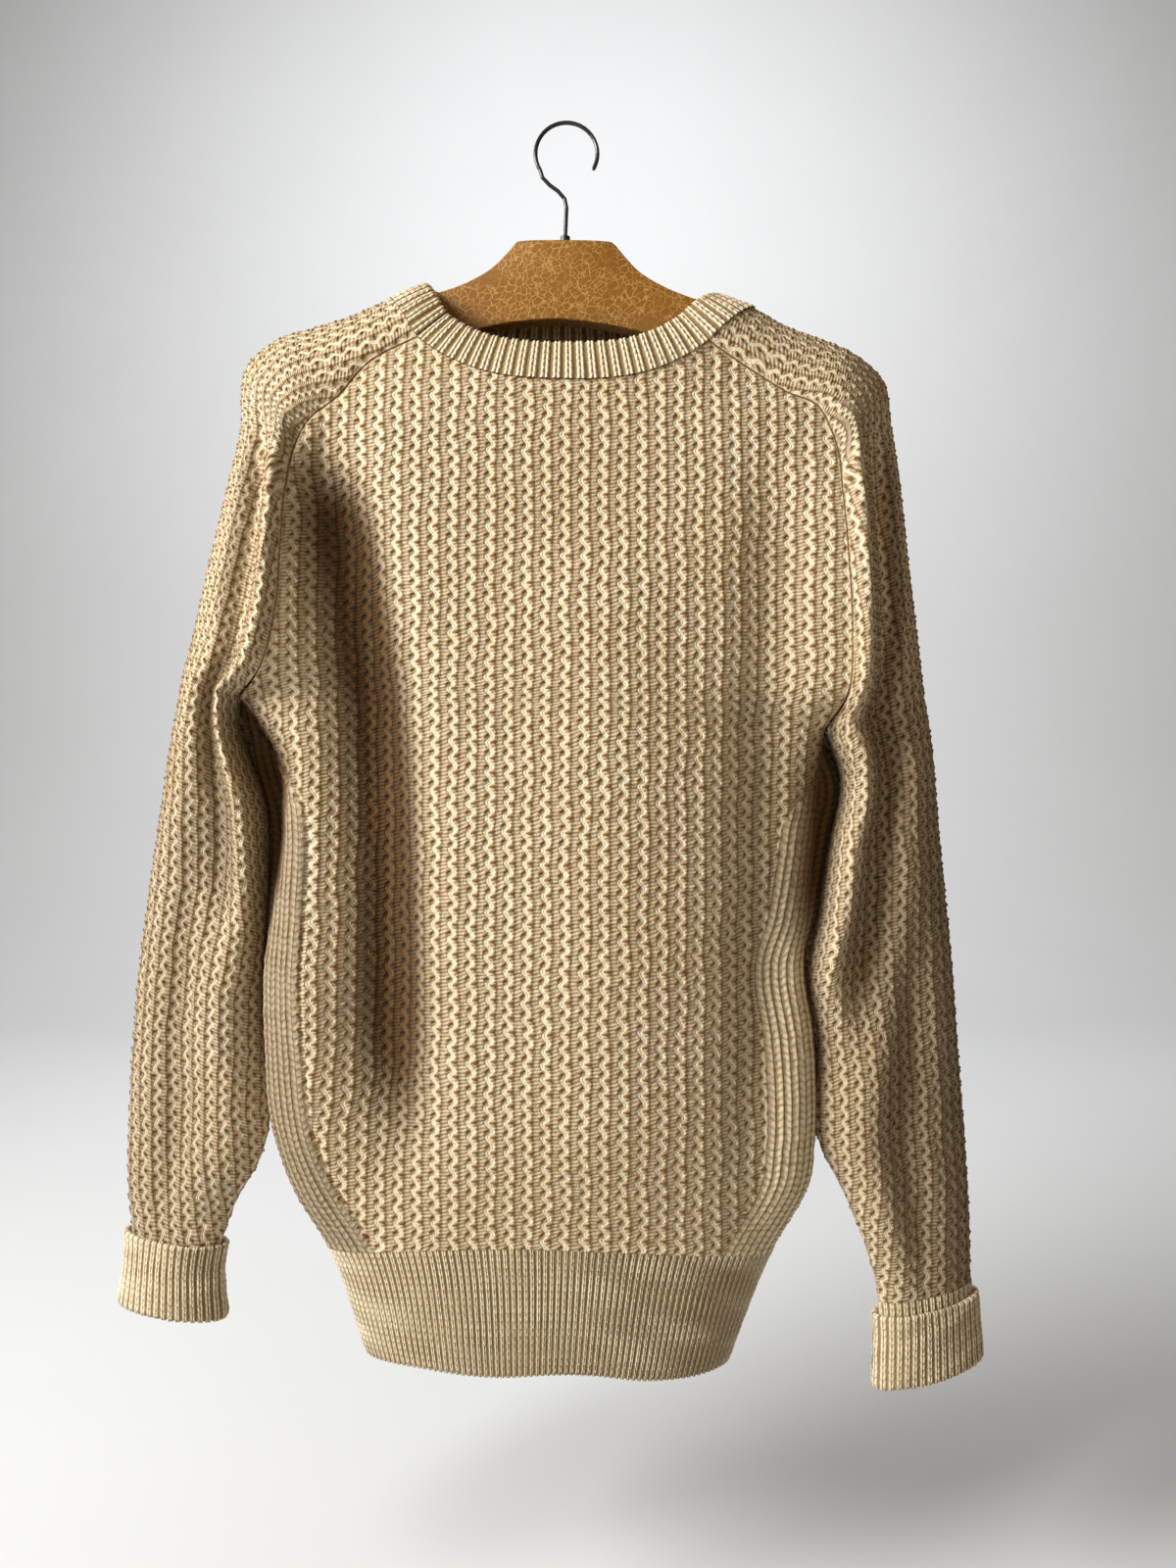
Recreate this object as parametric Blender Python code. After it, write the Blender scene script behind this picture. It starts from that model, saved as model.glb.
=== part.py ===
"""Raglan crew-neck sweater in thick knit, hanging on a covered hanger with a wire hook.

Metres, +Z up, +X to the viewer's right, the front of the garment faces -Y.
The origin is the inside top of the hook, where the hanger rests on what holds it.
"""
import math

import bmesh
import bpy
import numpy as np
from mathutils import Vector

# Driving dimensions of the garment
WALL = 0.003
UNDERARM_WALL = 0.0018
UNDERARM_REACH = 0.035
UNDERARM_WAY = np.array((0.0, 0.0, -1.0))
SEAM_GAP = 0.0003
SEAM_DRAW = 0.6 * SEAM_GAP
RIB_HEIGHT = 0.0009
BAND_HEIGHT = 0.0255
BAND_OUT = 0.0012
BAND_IN = 0.0034
BAND_FOOT = 0.00105
BAND_SWELL = 0.0004
BAND_ROUND = 0.0022
BAND_CENTRE_X = 0.003
BAND_CENTRE_Y = -0.010
BAND_HALF_WIDTH = 0.120
BAND_LEAN_FRONT = 10.0
BAND_LEAN_SIDE = 72.0
BAND_LEAN_POWER = 2.2
BAND_RIBS = 76
HEM_RIBS = 148
CUFF_RIBS = 34
CUFF_GAP = 0.0014
CUFF_ROUND = 0.0022

# Neckline: how far the front dips below its two ends, and how the dip fades down the panel
NECK_DIP = 0.0285
NECK_DIP_REACH = 0.6
BACK_DIP = 0.0075
SEAM_LIFT = 0.011

# Grid of the panels
FRONT_COLUMNS = 24
BACK_COLUMNS = 14
SLEEVE_COLUMNS = 9
UPPER_ROWS = 11
BODY_ROWS = (0.035, 0.07, 0.11, 0.18, 0.27, 0.37, 0.47, 0.56, 0.65, 0.75, 0.84, 0.92, 1.0)
SLEEVE_ROWS = (0.04, 0.09, 0.15, 0.22, 0.30, 0.40, 0.50, 0.60, 0.70, 0.79, 0.87, 0.94, 1.0)

# Hanger and hook
HANGER_THICKNESS = 0.013
HANGER_EDGE = 0.0040
HOOK_WIRE = 0.0027
HOOK_LOOP = 0.0205
HOOK_FROM = 212.0
HOOK_TO = -28.0
HOOK_STEPS = 26
HOOK_SIDES = 10
HOOK_FOOT_X = -0.0008
COLLAR_RADIUS = 0.0032
COLLAR_HEIGHT = 0.0035
COLLAR_TOP = 0.0042
HOOK_STEM = ((-0.0004, -0.0640), (0.0000, -0.0550), (-0.0012, -0.0490), (-0.0055, -0.0440),
             (-0.0110, -0.0400), (-0.0158, -0.0350))
SEAT_GAP = 0.0031


def table(names, rows):
    """A table as one list for each named column."""
    return {name: np.array([row[i] for row in rows]) for i, name in enumerate(names.split())}


# The upper sleeve, one row for each section from the neckline (0) to the underarm (1):
# where it meets the front panel, its shoulder or outer line, and where it meets the back
UPPER_COLUMNS = ("at front_x front_y front_z top_x top_y top_z back_x back_y back_z "
                 "front_bulge back_bulge")
UPPER = {
    "left": table(UPPER_COLUMNS, (
        (0.00, -0.0938, -0.036, -0.1534, -0.1159, 0.000, -0.1165, -0.088, 0.0170, -0.1255, 0.020, 0.009),
        (0.12, -0.1239, -0.034, -0.1682, -0.1405, 0.000, -0.1275, -0.118, 0.0200, -0.1500, 0.020, 0.011),
        (0.24, -0.1445, -0.036, -0.1917, -0.1680, 0.000, -0.1359, -0.143, 0.0220, -0.1780, 0.021, 0.013),
        (0.33, -0.1602, -0.040, -0.2059, -0.1916, 0.000, -0.1437, -0.160, 0.0225, -0.2010, 0.022, 0.013),
        (0.40, -0.1677, -0.042, -0.2194, -0.2105, 0.001, -0.1590, -0.170, 0.0225, -0.2200, 0.020, 0.013),
        (0.52, -0.1736, -0.050, -0.2539, -0.2155, 0.003, -0.2000, -0.181, 0.0225, -0.2550, 0.018, 0.012),
        (0.65, -0.1753, -0.055, -0.2912, -0.2245, 0.004, -0.2370, -0.188, 0.0215, -0.2920, 0.018, 0.011),
        (0.78, -0.1775, -0.058, -0.3277, -0.2360, 0.005, -0.2830, -0.194, 0.0195, -0.3280, 0.018, 0.011),
        (0.90, -0.1874, -0.055, -0.3634, -0.2460, 0.005, -0.3290, -0.202, 0.0080, -0.3620, 0.020, 0.016),
        (1.00, -0.2099, -0.023, -0.3796, -0.2535, 0.005, -0.3650, -0.2099, -0.023, -0.3796, 0.032, 0.027),
    )),
    "right": table(UPPER_COLUMNS, (
        (0.00, 0.0901, -0.036, -0.1559, 0.1242, 0.000, -0.1229, 0.090, 0.0170, -0.1275, 0.020, 0.009),
        (0.12, 0.1164, -0.034, -0.1731, 0.1455, 0.000, -0.1346, 0.118, 0.0200, -0.1550, 0.020, 0.011),
        (0.24, 0.1402, -0.036, -0.1886, 0.1700, 0.000, -0.1437, 0.141, 0.0220, -0.1830, 0.021, 0.013),
        (0.33, 0.1591, -0.040, -0.1992, 0.1905, 0.000, -0.1532, 0.156, 0.0225, -0.2050, 0.022, 0.013),
        (0.40, 0.1681, -0.044, -0.2200, 0.2075, 0.001, -0.1670, 0.165, 0.0225, -0.2260, 0.020, 0.013),
        (0.52, 0.1718, -0.050, -0.2540, 0.2150, 0.002, -0.2000, 0.170, 0.0225, -0.2620, 0.018, 0.012),
        (0.65, 0.1745, -0.055, -0.2950, 0.2215, 0.003, -0.2420, 0.174, 0.0215, -0.3020, 0.018, 0.011),
        (0.78, 0.1760, -0.058, -0.3397, 0.2270, 0.005, -0.2880, 0.177, 0.0195, -0.3420, 0.018, 0.011),
        (0.90, 0.1742, -0.054, -0.3800, 0.2330, 0.005, -0.3380, 0.175, 0.0080, -0.3800, 0.020, 0.016),
        (1.00, 0.1660, -0.023, -0.4010, 0.2375, 0.005, -0.3800, 0.1660, -0.023, -0.4010, 0.032, 0.027),
    )),
}

# The lower sleeve, from the underarm (0) past the cuff seam (1) to the cuff's fold:
# its inner and outer edge, and how far the front and back stand out from them
LOWER_COLUMNS = "at inner_x inner_y inner_z outer_x outer_y outer_z front_bulge back_bulge"
LOWER = {
    "left": table(LOWER_COLUMNS, (
        (0.00, -0.2099, -0.023, -0.3796, -0.2535, 0.005, -0.3650, 0.032, 0.027),
        (0.05, -0.2116, -0.017, -0.3975, -0.2570, 0.005, -0.3850, 0.034, 0.024),
        (0.12, -0.2060, -0.009, -0.4210, -0.2618, 0.004, -0.4130, 0.038, 0.022),
        (0.20, -0.1962, -0.009, -0.4489, -0.2668, 0.004, -0.4440, 0.036, 0.023),
        (0.30, -0.1942, -0.009, -0.4850, -0.2728, 0.003, -0.4840, 0.031, 0.025),
        (0.51, -0.1978, -0.008, -0.5620, -0.2828, 0.002, -0.5620, 0.029, 0.024),
        (0.66, -0.1972, -0.008, -0.6130, -0.2872, 0.002, -0.6130, 0.027, 0.022),
        (0.80, -0.1948, -0.008, -0.6640, -0.2892, 0.001, -0.6620, 0.025, 0.020),
        (0.86, -0.2015, -0.008, -0.6840, -0.2894, 0.000, -0.6830, 0.024, 0.019),
        (0.93, -0.2155, -0.008, -0.7085, -0.2888, 0.000, -0.7060, 0.021, 0.017),
        (1.00, -0.2262, -0.008, -0.7400, -0.2862, -0.001, -0.7320, 0.019, 0.016),
        (1.13, -0.2252, -0.009, -0.7850, -0.2905, -0.004, -0.7760, 0.018, 0.016),
    )),
    "right": table(LOWER_COLUMNS, (
        (0.00, 0.1660, -0.023, -0.4010, 0.2375, 0.005, -0.3800, 0.032, 0.027),
        (0.04, 0.1743, -0.018, -0.4200, 0.2402, 0.005, -0.3970, 0.034, 0.026),
        (0.10, 0.1780, -0.010, -0.4380, 0.2430, 0.005, -0.4230, 0.038, 0.022),
        (0.20, 0.1703, -0.009, -0.4780, 0.2462, 0.004, -0.4650, 0.038, 0.022),
        (0.30, 0.1642, -0.010, -0.5170, 0.2510, 0.004, -0.5100, 0.035, 0.024),
        (0.41, 0.1560, -0.015, -0.5560, 0.2550, 0.003, -0.5520, 0.031, 0.025),
        (0.53, 0.1620, -0.016, -0.6000, 0.2580, 0.002, -0.5980, 0.029, 0.024),
        (0.72, 0.1640, -0.014, -0.6690, 0.2630, 0.001, -0.6680, 0.027, 0.022),
        (0.81, 0.1800, -0.012, -0.7010, 0.2648, 0.000, -0.7000, 0.025, 0.020),
        (0.91, 0.1955, -0.010, -0.7390, 0.2662, 0.000, -0.7330, 0.021, 0.017),
        (1.00, 0.2035, -0.010, -0.7720, 0.2665, -0.001, -0.7610, 0.019, 0.016),
        (1.13, 0.2030, -0.012, -0.8300, 0.2690, -0.006, -0.8120, 0.018, 0.016),
    )),
}
CUFF_TOP = {"left": 0.991, "right": 1.022}
CUFF_FOLD = 1.125
SLEEVE_END = 1.0

# The body's side edges from the underarm (0) to the hem seam (1) and the hem's edge; a recess
# is how far in from the edge the front's roll of cloth starts
BODY_COLUMNS = ("at left_x left_y left_z right_x right_y right_z front_y back_y "
                "left_recess right_recess")
BODY = table(BODY_COLUMNS, (
    (0.000, -0.2099, -0.023, -0.3796, 0.1660, -0.023, -0.4010, -0.0540, 0.0225, 0.000, 0.000),
    (0.045, -0.2040, -0.020, -0.3955, 0.1665, -0.019, -0.4150, -0.0545, 0.0225, 0.006, 0.002),
    (0.100, -0.2035, -0.010, -0.4160, 0.1742, -0.012, -0.4330, -0.0550, 0.0225, 0.015, 0.010),
    (0.220, -0.1931, -0.009, -0.4577, 0.1697, -0.010, -0.4700, -0.0560, 0.0225, 0.008, 0.008),
    (0.380, -0.1936, -0.012, -0.5150, 0.1617, -0.010, -0.5210, -0.0565, 0.0230, 0.003, 0.004),
    (0.515, -0.1963, -0.013, -0.5617, 0.1542, -0.015, -0.5560, -0.0565, 0.0230, 0.000, 0.000),
    (0.620, -0.1955, -0.014, -0.6000, 0.1600, -0.016, -0.5970, -0.0560, 0.0230, 0.000, 0.000),
    (0.800, -0.1889, -0.014, -0.6633, 0.1612, -0.015, -0.6680, -0.0540, 0.0225, 0.000, 0.000),
    (0.905, -0.1750, -0.014, -0.7000, 0.1560, -0.015, -0.6980, -0.0510, 0.0215, 0.000, 0.000),
    (1.000, -0.1545, -0.014, -0.7333, 0.1340, -0.014, -0.7364, -0.0480, 0.0205, 0.000, 0.000),
    (1.200, -0.1293, -0.013, -0.8015, 0.1056, -0.013, -0.8085, -0.0460, 0.0190, 0.000, 0.000),
))
HEM_EDGE = 1.2
HEM_EDGE_IN = 0.0003
HEM_WAVE = 0.0015
HEM_WAVES = 58.0
HEM_WAVE_START = 1.2
CHEST = table("at front_y back_y", (
    (0.0, -0.0445, 0.0225), (0.3, -0.0480, 0.0235), (0.6, -0.0520, 0.0235), (1.0, -0.0540, 0.0225)))

# The largest folds of the front: three places down each fold's line, its half width and depth,
# where a positive depth is a hollow and a negative one a ridge
BODY_FOLDS = table("x_top z_top x_mid z_mid x_low z_low width depth", (
    (-0.152, -0.235, -0.126, -0.370, -0.109, -0.650, 0.027, 0.025),
    (0.026, -0.300, 0.032, -0.480, 0.028, -0.700, 0.058, -0.010),
    (0.130, -0.250, 0.124, -0.400, 0.118, -0.680, 0.020, 0.010),
    (-0.166, -0.420, -0.168, -0.520, -0.160, -0.650, 0.014, -0.006),
))
BODY_FOLD_FADE = 0.05
RECESS_REACH = 0.3

# The largest folds of the sleeves, down the sleeve from one section to another (the lower
# sleeve's sections count on from 1), across it from the inner edge (0) to the outer one (1)
SLEEVE_FOLDS = {
    "left": table("from_at to_at from_across to_across width depth", (
        (0.40, 1.40, 0.18, 0.11, 0.12, -0.012), (0.45, 1.45, 0.46, 0.32, 0.14, 0.014),
        (1.15, 1.95, 0.55, 0.60, 0.13, 0.007), (1.10, 1.85, 0.26, 0.22, 0.12, -0.004))),
    "right": table("from_at to_at from_across to_across width depth", (
        (0.40, 1.50, 0.24, 0.10, 0.14, -0.012), (0.50, 1.50, 0.58, 0.34, 0.15, 0.014),
        (1.35, 1.98, 0.70, 0.45, 0.13, 0.007), (1.45, 1.90, 0.42, 0.20, 0.12, -0.004))),
}

# Hanger: its top outline from the flat top outwards, on the left and on the right,
# and the same for its underside
HANGER_TOP = table("left_x left_z right_x right_z", (
    (-0.0310, -0.0780, 0.0280, -0.0783), (-0.0345, -0.0812, 0.0325, -0.0815),
    (-0.0389, -0.0869, 0.0375, -0.0880), (-0.0505, -0.0985, 0.0485, -0.1002),
    (-0.0693, -0.1082, 0.0665, -0.1102), (-0.0868, -0.1135, 0.0841, -0.1168),
    (-0.1120, -0.1222, 0.1160, -0.1282)))
HANGER_UNDER = table("left_x left_z right_x right_z", (
    (-0.0070, -0.1312, 0.0000, -0.1315), (-0.0300, -0.1326, 0.0250, -0.1342),
    (-0.0520, -0.1362, 0.0480, -0.1392), (-0.0900, -0.1475, 0.0900, -0.1520),
    (-0.1400, -0.1640, 0.1400, -0.1700), (-0.1820, -0.1785, 0.1810, -0.1855),
    (-0.1960, -0.1800, 0.1940, -0.1875)))
SEAT_ROWS = (1, 2, 3)
TIP = {"left": ((-0.1945, -0.1580), (-0.1990, -0.1660), (-0.1995, -0.1735)),
       "right": ((0.1915, -0.1665), (0.1960, -0.1740), (0.1965, -0.1815))}

COLOURS = {
    "wool": ((0.82, 0.74, 0.58, 1.0), 0.95, 0.0),
    "rib": ((0.80, 0.71, 0.55, 1.0), 0.95, 0.0),
    "leatherette": ((0.50, 0.24, 0.08, 1.0), 0.5, 0.0),
    "wire": ((0.02, 0.02, 0.022, 1.0), 0.35, 1.0),
}


def track(keys, values):
    """A smooth function through values that are given at rising keys."""
    spans = np.diff(keys)
    slopes = np.diff(values) / spans
    inner = (slopes[:-1] * spans[1:] + slopes[1:] * spans[:-1]) / (spans[1:] + spans[:-1])
    bends = np.concatenate((slopes[:1], inner, slopes[-1:]))

    def at(key):
        key = np.clip(key, keys[0], keys[-1])
        k = np.clip(np.searchsorted(keys, key, side="right") - 1, 0, len(spans) - 1)
        u = (key - keys[k]) / spans[k]
        rest = 1.0 - u
        start = (1.0 + 2.0 * u) * rest**2 * values[k] + u * rest**2 * spans[k] * bends[k]
        end = u**2 * (3.0 - 2.0 * u) * values[k + 1] - u**2 * rest * spans[k] * bends[k + 1]
        return start + end

    return at


def column(source, name, key):
    """One column of a table, read at any key."""
    return track(source["at"], source[name])(key)


def place(source, name, key):
    """A point whose columns are NAME_x, NAME_y and NAME_z."""
    return np.stack([column(source, name + axis, key) for axis in ("_x", "_y", "_z")], axis=-1)


def mix(a, b, share):
    return a + (b - a) * share


def step(low, high, value):
    """Rises smoothly from 0 at low to 1 at high."""
    u = np.clip((value - low) / (high - low), 0.0, 1.0)
    return u * u * (3.0 - 2.0 * u)


def hump(distance, width):
    """1 on a fold's line, falling smoothly to 0 about two half widths away."""
    return np.exp(-((distance / width) ** 2))


def body_edge(side, face, at):
    """The panel's edge: the raglan seam down to section 1, then the body's side."""
    upper = place(UPPER[side], face, np.minimum(at, 1.0))
    lower = place(BODY, side, np.maximum(at - 1.0, 0.0))
    return np.where((at <= 1.0)[..., None], upper, lower)


def body_folds(x, z):
    """How far the front's folds push the cloth back at a place on it."""
    push = np.zeros_like(x)
    for x1, z1, x2, z2, x3, z3, width, depth in zip(*BODY_FOLDS.values()):
        line = track(np.array((z3, z2, z1)), np.array((x3, x2, x1)))(z)
        ends = step(z3 - 0.05, z3 + 0.03, z) * step(z1 + 0.05, z1 - 0.03, z)
        push += depth * ends * hump(x - line, width)
    return push


def recessed(face, at, across, width):
    """Across, counted between the rolls of cloth that stand in front of the side seams."""
    if face == "back":
        return across
    below = np.maximum(at - 1.0, 0.0)
    left = np.maximum(column(BODY, "left_recess", below), 0.0) / width
    right = np.maximum(column(BODY, "right_recess", below), 0.0) / width
    return np.clip((across - left) / (1.0 - left - right), 0.0, 1.0)


def body_point(face, at, across):
    """A point of the front or back panel: at is 0 to 2 and on, across is 0 to 1."""
    at, across = np.broadcast_arrays(np.asarray(at, float), np.asarray(across, float))
    left = body_edge("left", face, at)
    right = body_edge("right", face, at)
    point = mix(left, right, across[..., None])
    tube = step(0.80, 1.0, at)
    power = mix(2.8, 3.6, tube)
    inner = recessed(face, at, across, right[..., 0] - left[..., 0])
    crown = np.maximum(1.0 - np.abs(2.0 * inner - 1.0) ** power, 0.0)
    upper_y = column(CHEST, face + "_y", np.minimum(at, 1.0))
    lower_y = column(BODY, face + "_y", np.maximum(at - 1.0, 0.0))
    middle_y = np.where(at <= 1.0, upper_y, lower_y)
    point[..., 1] = mix(point[..., 1], middle_y, crown ** mix(1.0, 0.5, tube))
    reach = np.clip(1.0 - at / NECK_DIP_REACH, 0.0, 1.0) ** 1.5
    dip = NECK_DIP if face == "front" else BACK_DIP
    point[..., 2] -= dip * reach * crown
    rise = SEAM_LIFT if face == "front" else 0.0
    lift = rise * step(1.55, 2.0, at) * step(2.2, 2.0, at)
    point[..., 2] += lift * 4.0 * across * (1.0 - across)
    if face == "front":
        fade = step(0.0, BODY_FOLD_FADE, np.minimum(across, 1.0 - across))
        point[..., 1] += fade * body_folds(point[..., 0], point[..., 2])
    return point


def sleeve_folds(side, at, across):
    """How far the sleeve's folds push its front back."""
    push = np.zeros_like(across)
    for start, end, first, last, width, depth in zip(*SLEEVE_FOLDS[side].values()):
        line = mix(first, last, np.clip((at - start) / (end - start), 0.0, 1.0))
        ends = step(start - 0.1, start + 0.15, at) * step(end + 0.1, end - 0.15, at)
        push += depth * ends * hump(across - line, width)
    return push * step(0.0, 0.1, across) * step(1.0, 0.85, across)


def sleeve_point(side, face, at, across):
    """A point of a sleeve: across is 0 at the raglan seam or inner edge, 1 at the outer line."""
    at, across = np.broadcast_arrays(np.asarray(at, float), np.asarray(across, float))
    above = np.minimum(at, 1.0)
    below = np.maximum(at - 1.0, 0.0)
    is_upper = (at <= 1.0)[..., None]
    near = np.where(is_upper, place(UPPER[side], face, above), place(LOWER[side], "inner", below))
    far = np.where(is_upper, place(UPPER[side], "top", above), place(LOWER[side], "outer", below))
    name = face + "_bulge"
    bulge = np.where(at <= 1.0, column(UPPER[side], name, above), column(LOWER[side], name, below))
    point = mix(near, far, across[..., None])
    tube = step(0.80, 1.0, at)
    rise = (1.0 - (1.0 - across) ** 2.4) ** mix(1.0, 0.5, tube)
    fall = (1.0 - across ** 2.4) ** 0.5
    if face == "front":
        point[..., 1] += sleeve_folds(side, at, across) - bulge * rise * fall
    else:
        point[..., 1] += bulge * rise * fall
    return point


def sleeve_across(at, share):
    """Places across the sleeve, closer together at its turned edges."""
    at, share = np.broadcast_arrays(np.asarray(at, float), np.asarray(share, float))
    tube = step(0.80, 1.0, at)
    return mix(np.sin(share * math.pi / 2.0), (1.0 - np.cos(share * math.pi)) / 2.0, tube)


def body_across(share):
    """Places across a body panel, closer together towards its two edges."""
    return mix(share, (1.0 - np.cos(share * math.pi)) / 2.0, 0.75)


class Skin:
    """One piece's outer surface: its points, and its faces as point numbers."""

    def __init__(self, name):
        self.name = name
        self.points = []
        self.faces = []

    def add(self, rows):
        """Add rows of points and return their numbers."""
        first = len(self.points)
        count, width = rows.shape[:2]
        self.points.extend(rows.reshape(-1, 3))
        return np.arange(first, first + count * width).reshape(count, width)

    def fill(self, numbers):
        """Quads between neighbouring rows of point numbers."""
        for upper, lower in zip(numbers[:-1], numbers[1:]):
            for a, b, c, d in zip(upper[:-1], upper[1:], lower[1:], lower[:-1]):
                self.faces.append((a, b, c, d))

    def normals(self):
        """The faces' directions out of the surface at each point, weighted by their corners."""
        points = np.array(self.points)
        sums = np.zeros_like(points)
        for face in self.faces:
            corners = points[list(face)]
            for i, number in enumerate(face):
                ahead = corners[(i + 1) % 4] - corners[i]
                behind = corners[i - 1] - corners[i]
                cross = np.cross(ahead, behind)
                size = np.linalg.norm(cross)
                angle = math.atan2(size, float(ahead.dot(behind)))
                sums[number] += cross * (angle / max(size, 1e-12))
        return sums


def recess_columns(rows, across):
    """Places across the front where the second column follows the edge of each recess."""
    first = across[0, 1]
    width = body_edge("right", "front", rows)[:, 0] - body_edge("left", "front", rows)[:, 0]
    for side in ("left", "right"):
        inward = across if side == "left" else 1.0 - across
        recess = column(BODY, side + "_recess", np.maximum(rows - 1.0, 0.0)) / width
        pull = np.maximum(recess - first, 0.0)[:, None]
        inward = inward + pull * np.interp(inward, (0.0, first, RECESS_REACH), (0.0, 1.0, 0.0))
        across = inward if side == "left" else 1.0 - inward
    return across


def panel_skin(name, face, columns):
    """The front or back panel, from the neckline down to the hem seam."""
    share = np.linspace(0.0, 1.0, columns + 1)
    rows = np.concatenate((np.linspace(0.0, 1.0, UPPER_ROWS + 1), 1.0 + np.array(BODY_ROWS)))
    across = np.tile(body_across(share), (len(rows), 1))
    if face == "front":
        across = recess_columns(rows, across)
    grid = body_point(face, rows[:, None], across)
    if face == "front":
        grid = grid[:, ::-1]
    skin = Skin(name)
    skin.fill(skin.add(grid))
    return skin


def sleeve_skin(name, side):
    """A sleeve: open between the two raglan seams above the underarm, a tube below it."""
    share = np.linspace(0.0, 1.0, SLEEVE_COLUMNS + 1)
    upper = np.linspace(0.0, 1.0, UPPER_ROWS + 1)
    lower = 1.0 + np.array(SLEEVE_ROWS) * SLEEVE_END
    rows = np.concatenate((upper, lower))[:, None]
    across = sleeve_across(rows, share[None, :])
    front = sleeve_point(side, "front", rows, across)
    back = sleeve_point(side, "back", rows, across)
    grid = np.concatenate((front, back[:, -2::-1]), axis=1)
    skin = Skin(name)
    numbers = skin.add(grid)
    numbers[UPPER_ROWS:, -1] = numbers[UPPER_ROWS:, 0]
    if side == "right":
        numbers = numbers[:, ::-1]
    skin.fill(numbers)
    return skin


def key_of(point):
    return tuple(np.round(point, 6))


def shared_normals(skins):
    """Each piece's directions out of the cloth, the same on both sides of every seam."""
    sums = {}
    for skin in skins:
        for point, normal in zip(skin.points, skin.normals()):
            key = key_of(point)
            sums[key] = sums.get(key, 0.0) + normal
    result = {}
    for key, total in sums.items():
        result[key] = total / np.linalg.norm(total)
    for side in UPPER:
        result[key_of(place(UPPER[side], "front", 1.0))] = UNDERARM_WAY
    return result


def wall_at(point):
    """The cloth's thickness, less where the three pieces meet under the arm."""
    corners = [place(UPPER[side], "front", 1.0) for side in UPPER]
    nearest = min(np.linalg.norm(point - corner) for corner in corners)
    return mix(UNDERARM_WALL, WALL, step(0.0, UNDERARM_REACH, nearest))


def wall(skin, normal_at):
    """The solid wall of a piece, drawn back a little from each of its seams."""
    edges = {}
    neighbours = {}
    for face in skin.faces:
        for a, b in zip(face, face[1:] + face[:1]):
            edges[(a, b)] = face
    border = [edge for edge in edges if (edge[1], edge[0]) not in edges]
    points = np.array(skin.points)
    for a, b in border:
        face = edges[(a, b)]
        inward = points[list(face)].mean(axis=0) - (points[a] + points[b]) / 2.0
        along = points[b] - points[a]
        along /= np.linalg.norm(along)
        inward -= along * inward.dot(along)
        inward /= np.linalg.norm(inward)
        for number in (a, b):
            neighbours.setdefault(number, []).append(inward)
    outer = points.copy()
    inner = points.copy()
    for number, point in enumerate(points):
        normal = normal_at[key_of(point)]
        inner[number] = point - wall_at(point) * normal
    for number, ways in neighbours.items():
        total = np.sum(ways, axis=0)
        draw = total / max(np.linalg.norm(total), 1e-6) * SEAM_DRAW
        if len(ways) == 2:
            spread = max(np.linalg.norm(total) / 2.0, 0.35)
            draw /= spread
        outer[number] += draw
        inner[number] += draw
    used = sorted({number for face in skin.faces for number in face})
    order = {number: i for i, number in enumerate(used)}
    count = len(used)
    verts = [outer[number] for number in used] + [inner[number] for number in used]
    faces = [tuple(order[number] for number in face) for face in skin.faces]
    faces += [tuple(order[number] + count for number in reversed(face)) for face in skin.faces]
    for a, b in border:
        faces.append((order[b], order[a], order[a] + count, order[b] + count))
    return verts, faces


def new_material(name):
    """A material made for one object, from the named colour, roughness and metallic value."""
    colour, roughness, metallic = COLOURS[name.split("/")[0]]
    material = bpy.data.materials.new(name.replace("/", "_"))
    material.use_nodes = True
    shader = material.node_tree.nodes["Principled BSDF"]
    shader.inputs["Base Color"].default_value = colour
    shader.inputs["Roughness"].default_value = roughness
    shader.inputs["Metallic"].default_value = metallic
    material.diffuse_color = colour
    return material


def new_object(name, verts, faces, kind):
    """One closed mesh object, made of triangles with its faces pointing out."""
    mesh = bpy.data.meshes.new(name)
    mesh.from_pydata([tuple(map(float, v)) for v in verts], [], faces)
    shape = bmesh.new()
    shape.from_mesh(mesh)
    bmesh.ops.triangulate(shape, faces=shape.faces[:], quad_method="SHORT_EDGE")
    bmesh.ops.recalc_face_normals(shape, faces=shape.faces[:])
    if shape.calc_volume(signed=True) < 0.0:
        bmesh.ops.reverse_faces(shape, faces=shape.faces[:])
    shape.to_mesh(mesh)
    shape.free()
    mesh.shade_smooth()
    mesh.set_sharp_from_angle(angle=math.radians(35.0))
    thing = bpy.data.objects.new(name, mesh)
    thing.data.materials.append(new_material(kind + "/" + name))
    bpy.context.scene.collection.objects.link(thing)
    return thing


def even_ring(points, count):
    """The closed line through the points, cut into equal lengths."""
    loop = np.vstack((points, points[:1]))
    lengths = np.concatenate(([0.0], np.cumsum(np.linalg.norm(np.diff(loop, axis=0), axis=1))))
    places = np.linspace(0.0, lengths[-1], count, endpoint=False)
    return np.stack([np.interp(places, lengths, loop[:, i]) for i in range(3)], axis=-1)


def ring_normals(ring, along):
    """Directions out of a tube at one of its rings, square to the ring and to the way along."""
    tangent = np.roll(ring, -1, axis=0) - np.roll(ring, 1, axis=0)
    normal = np.cross(tangent, along)
    return normal / np.linalg.norm(normal, axis=1)[:, None]


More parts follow.
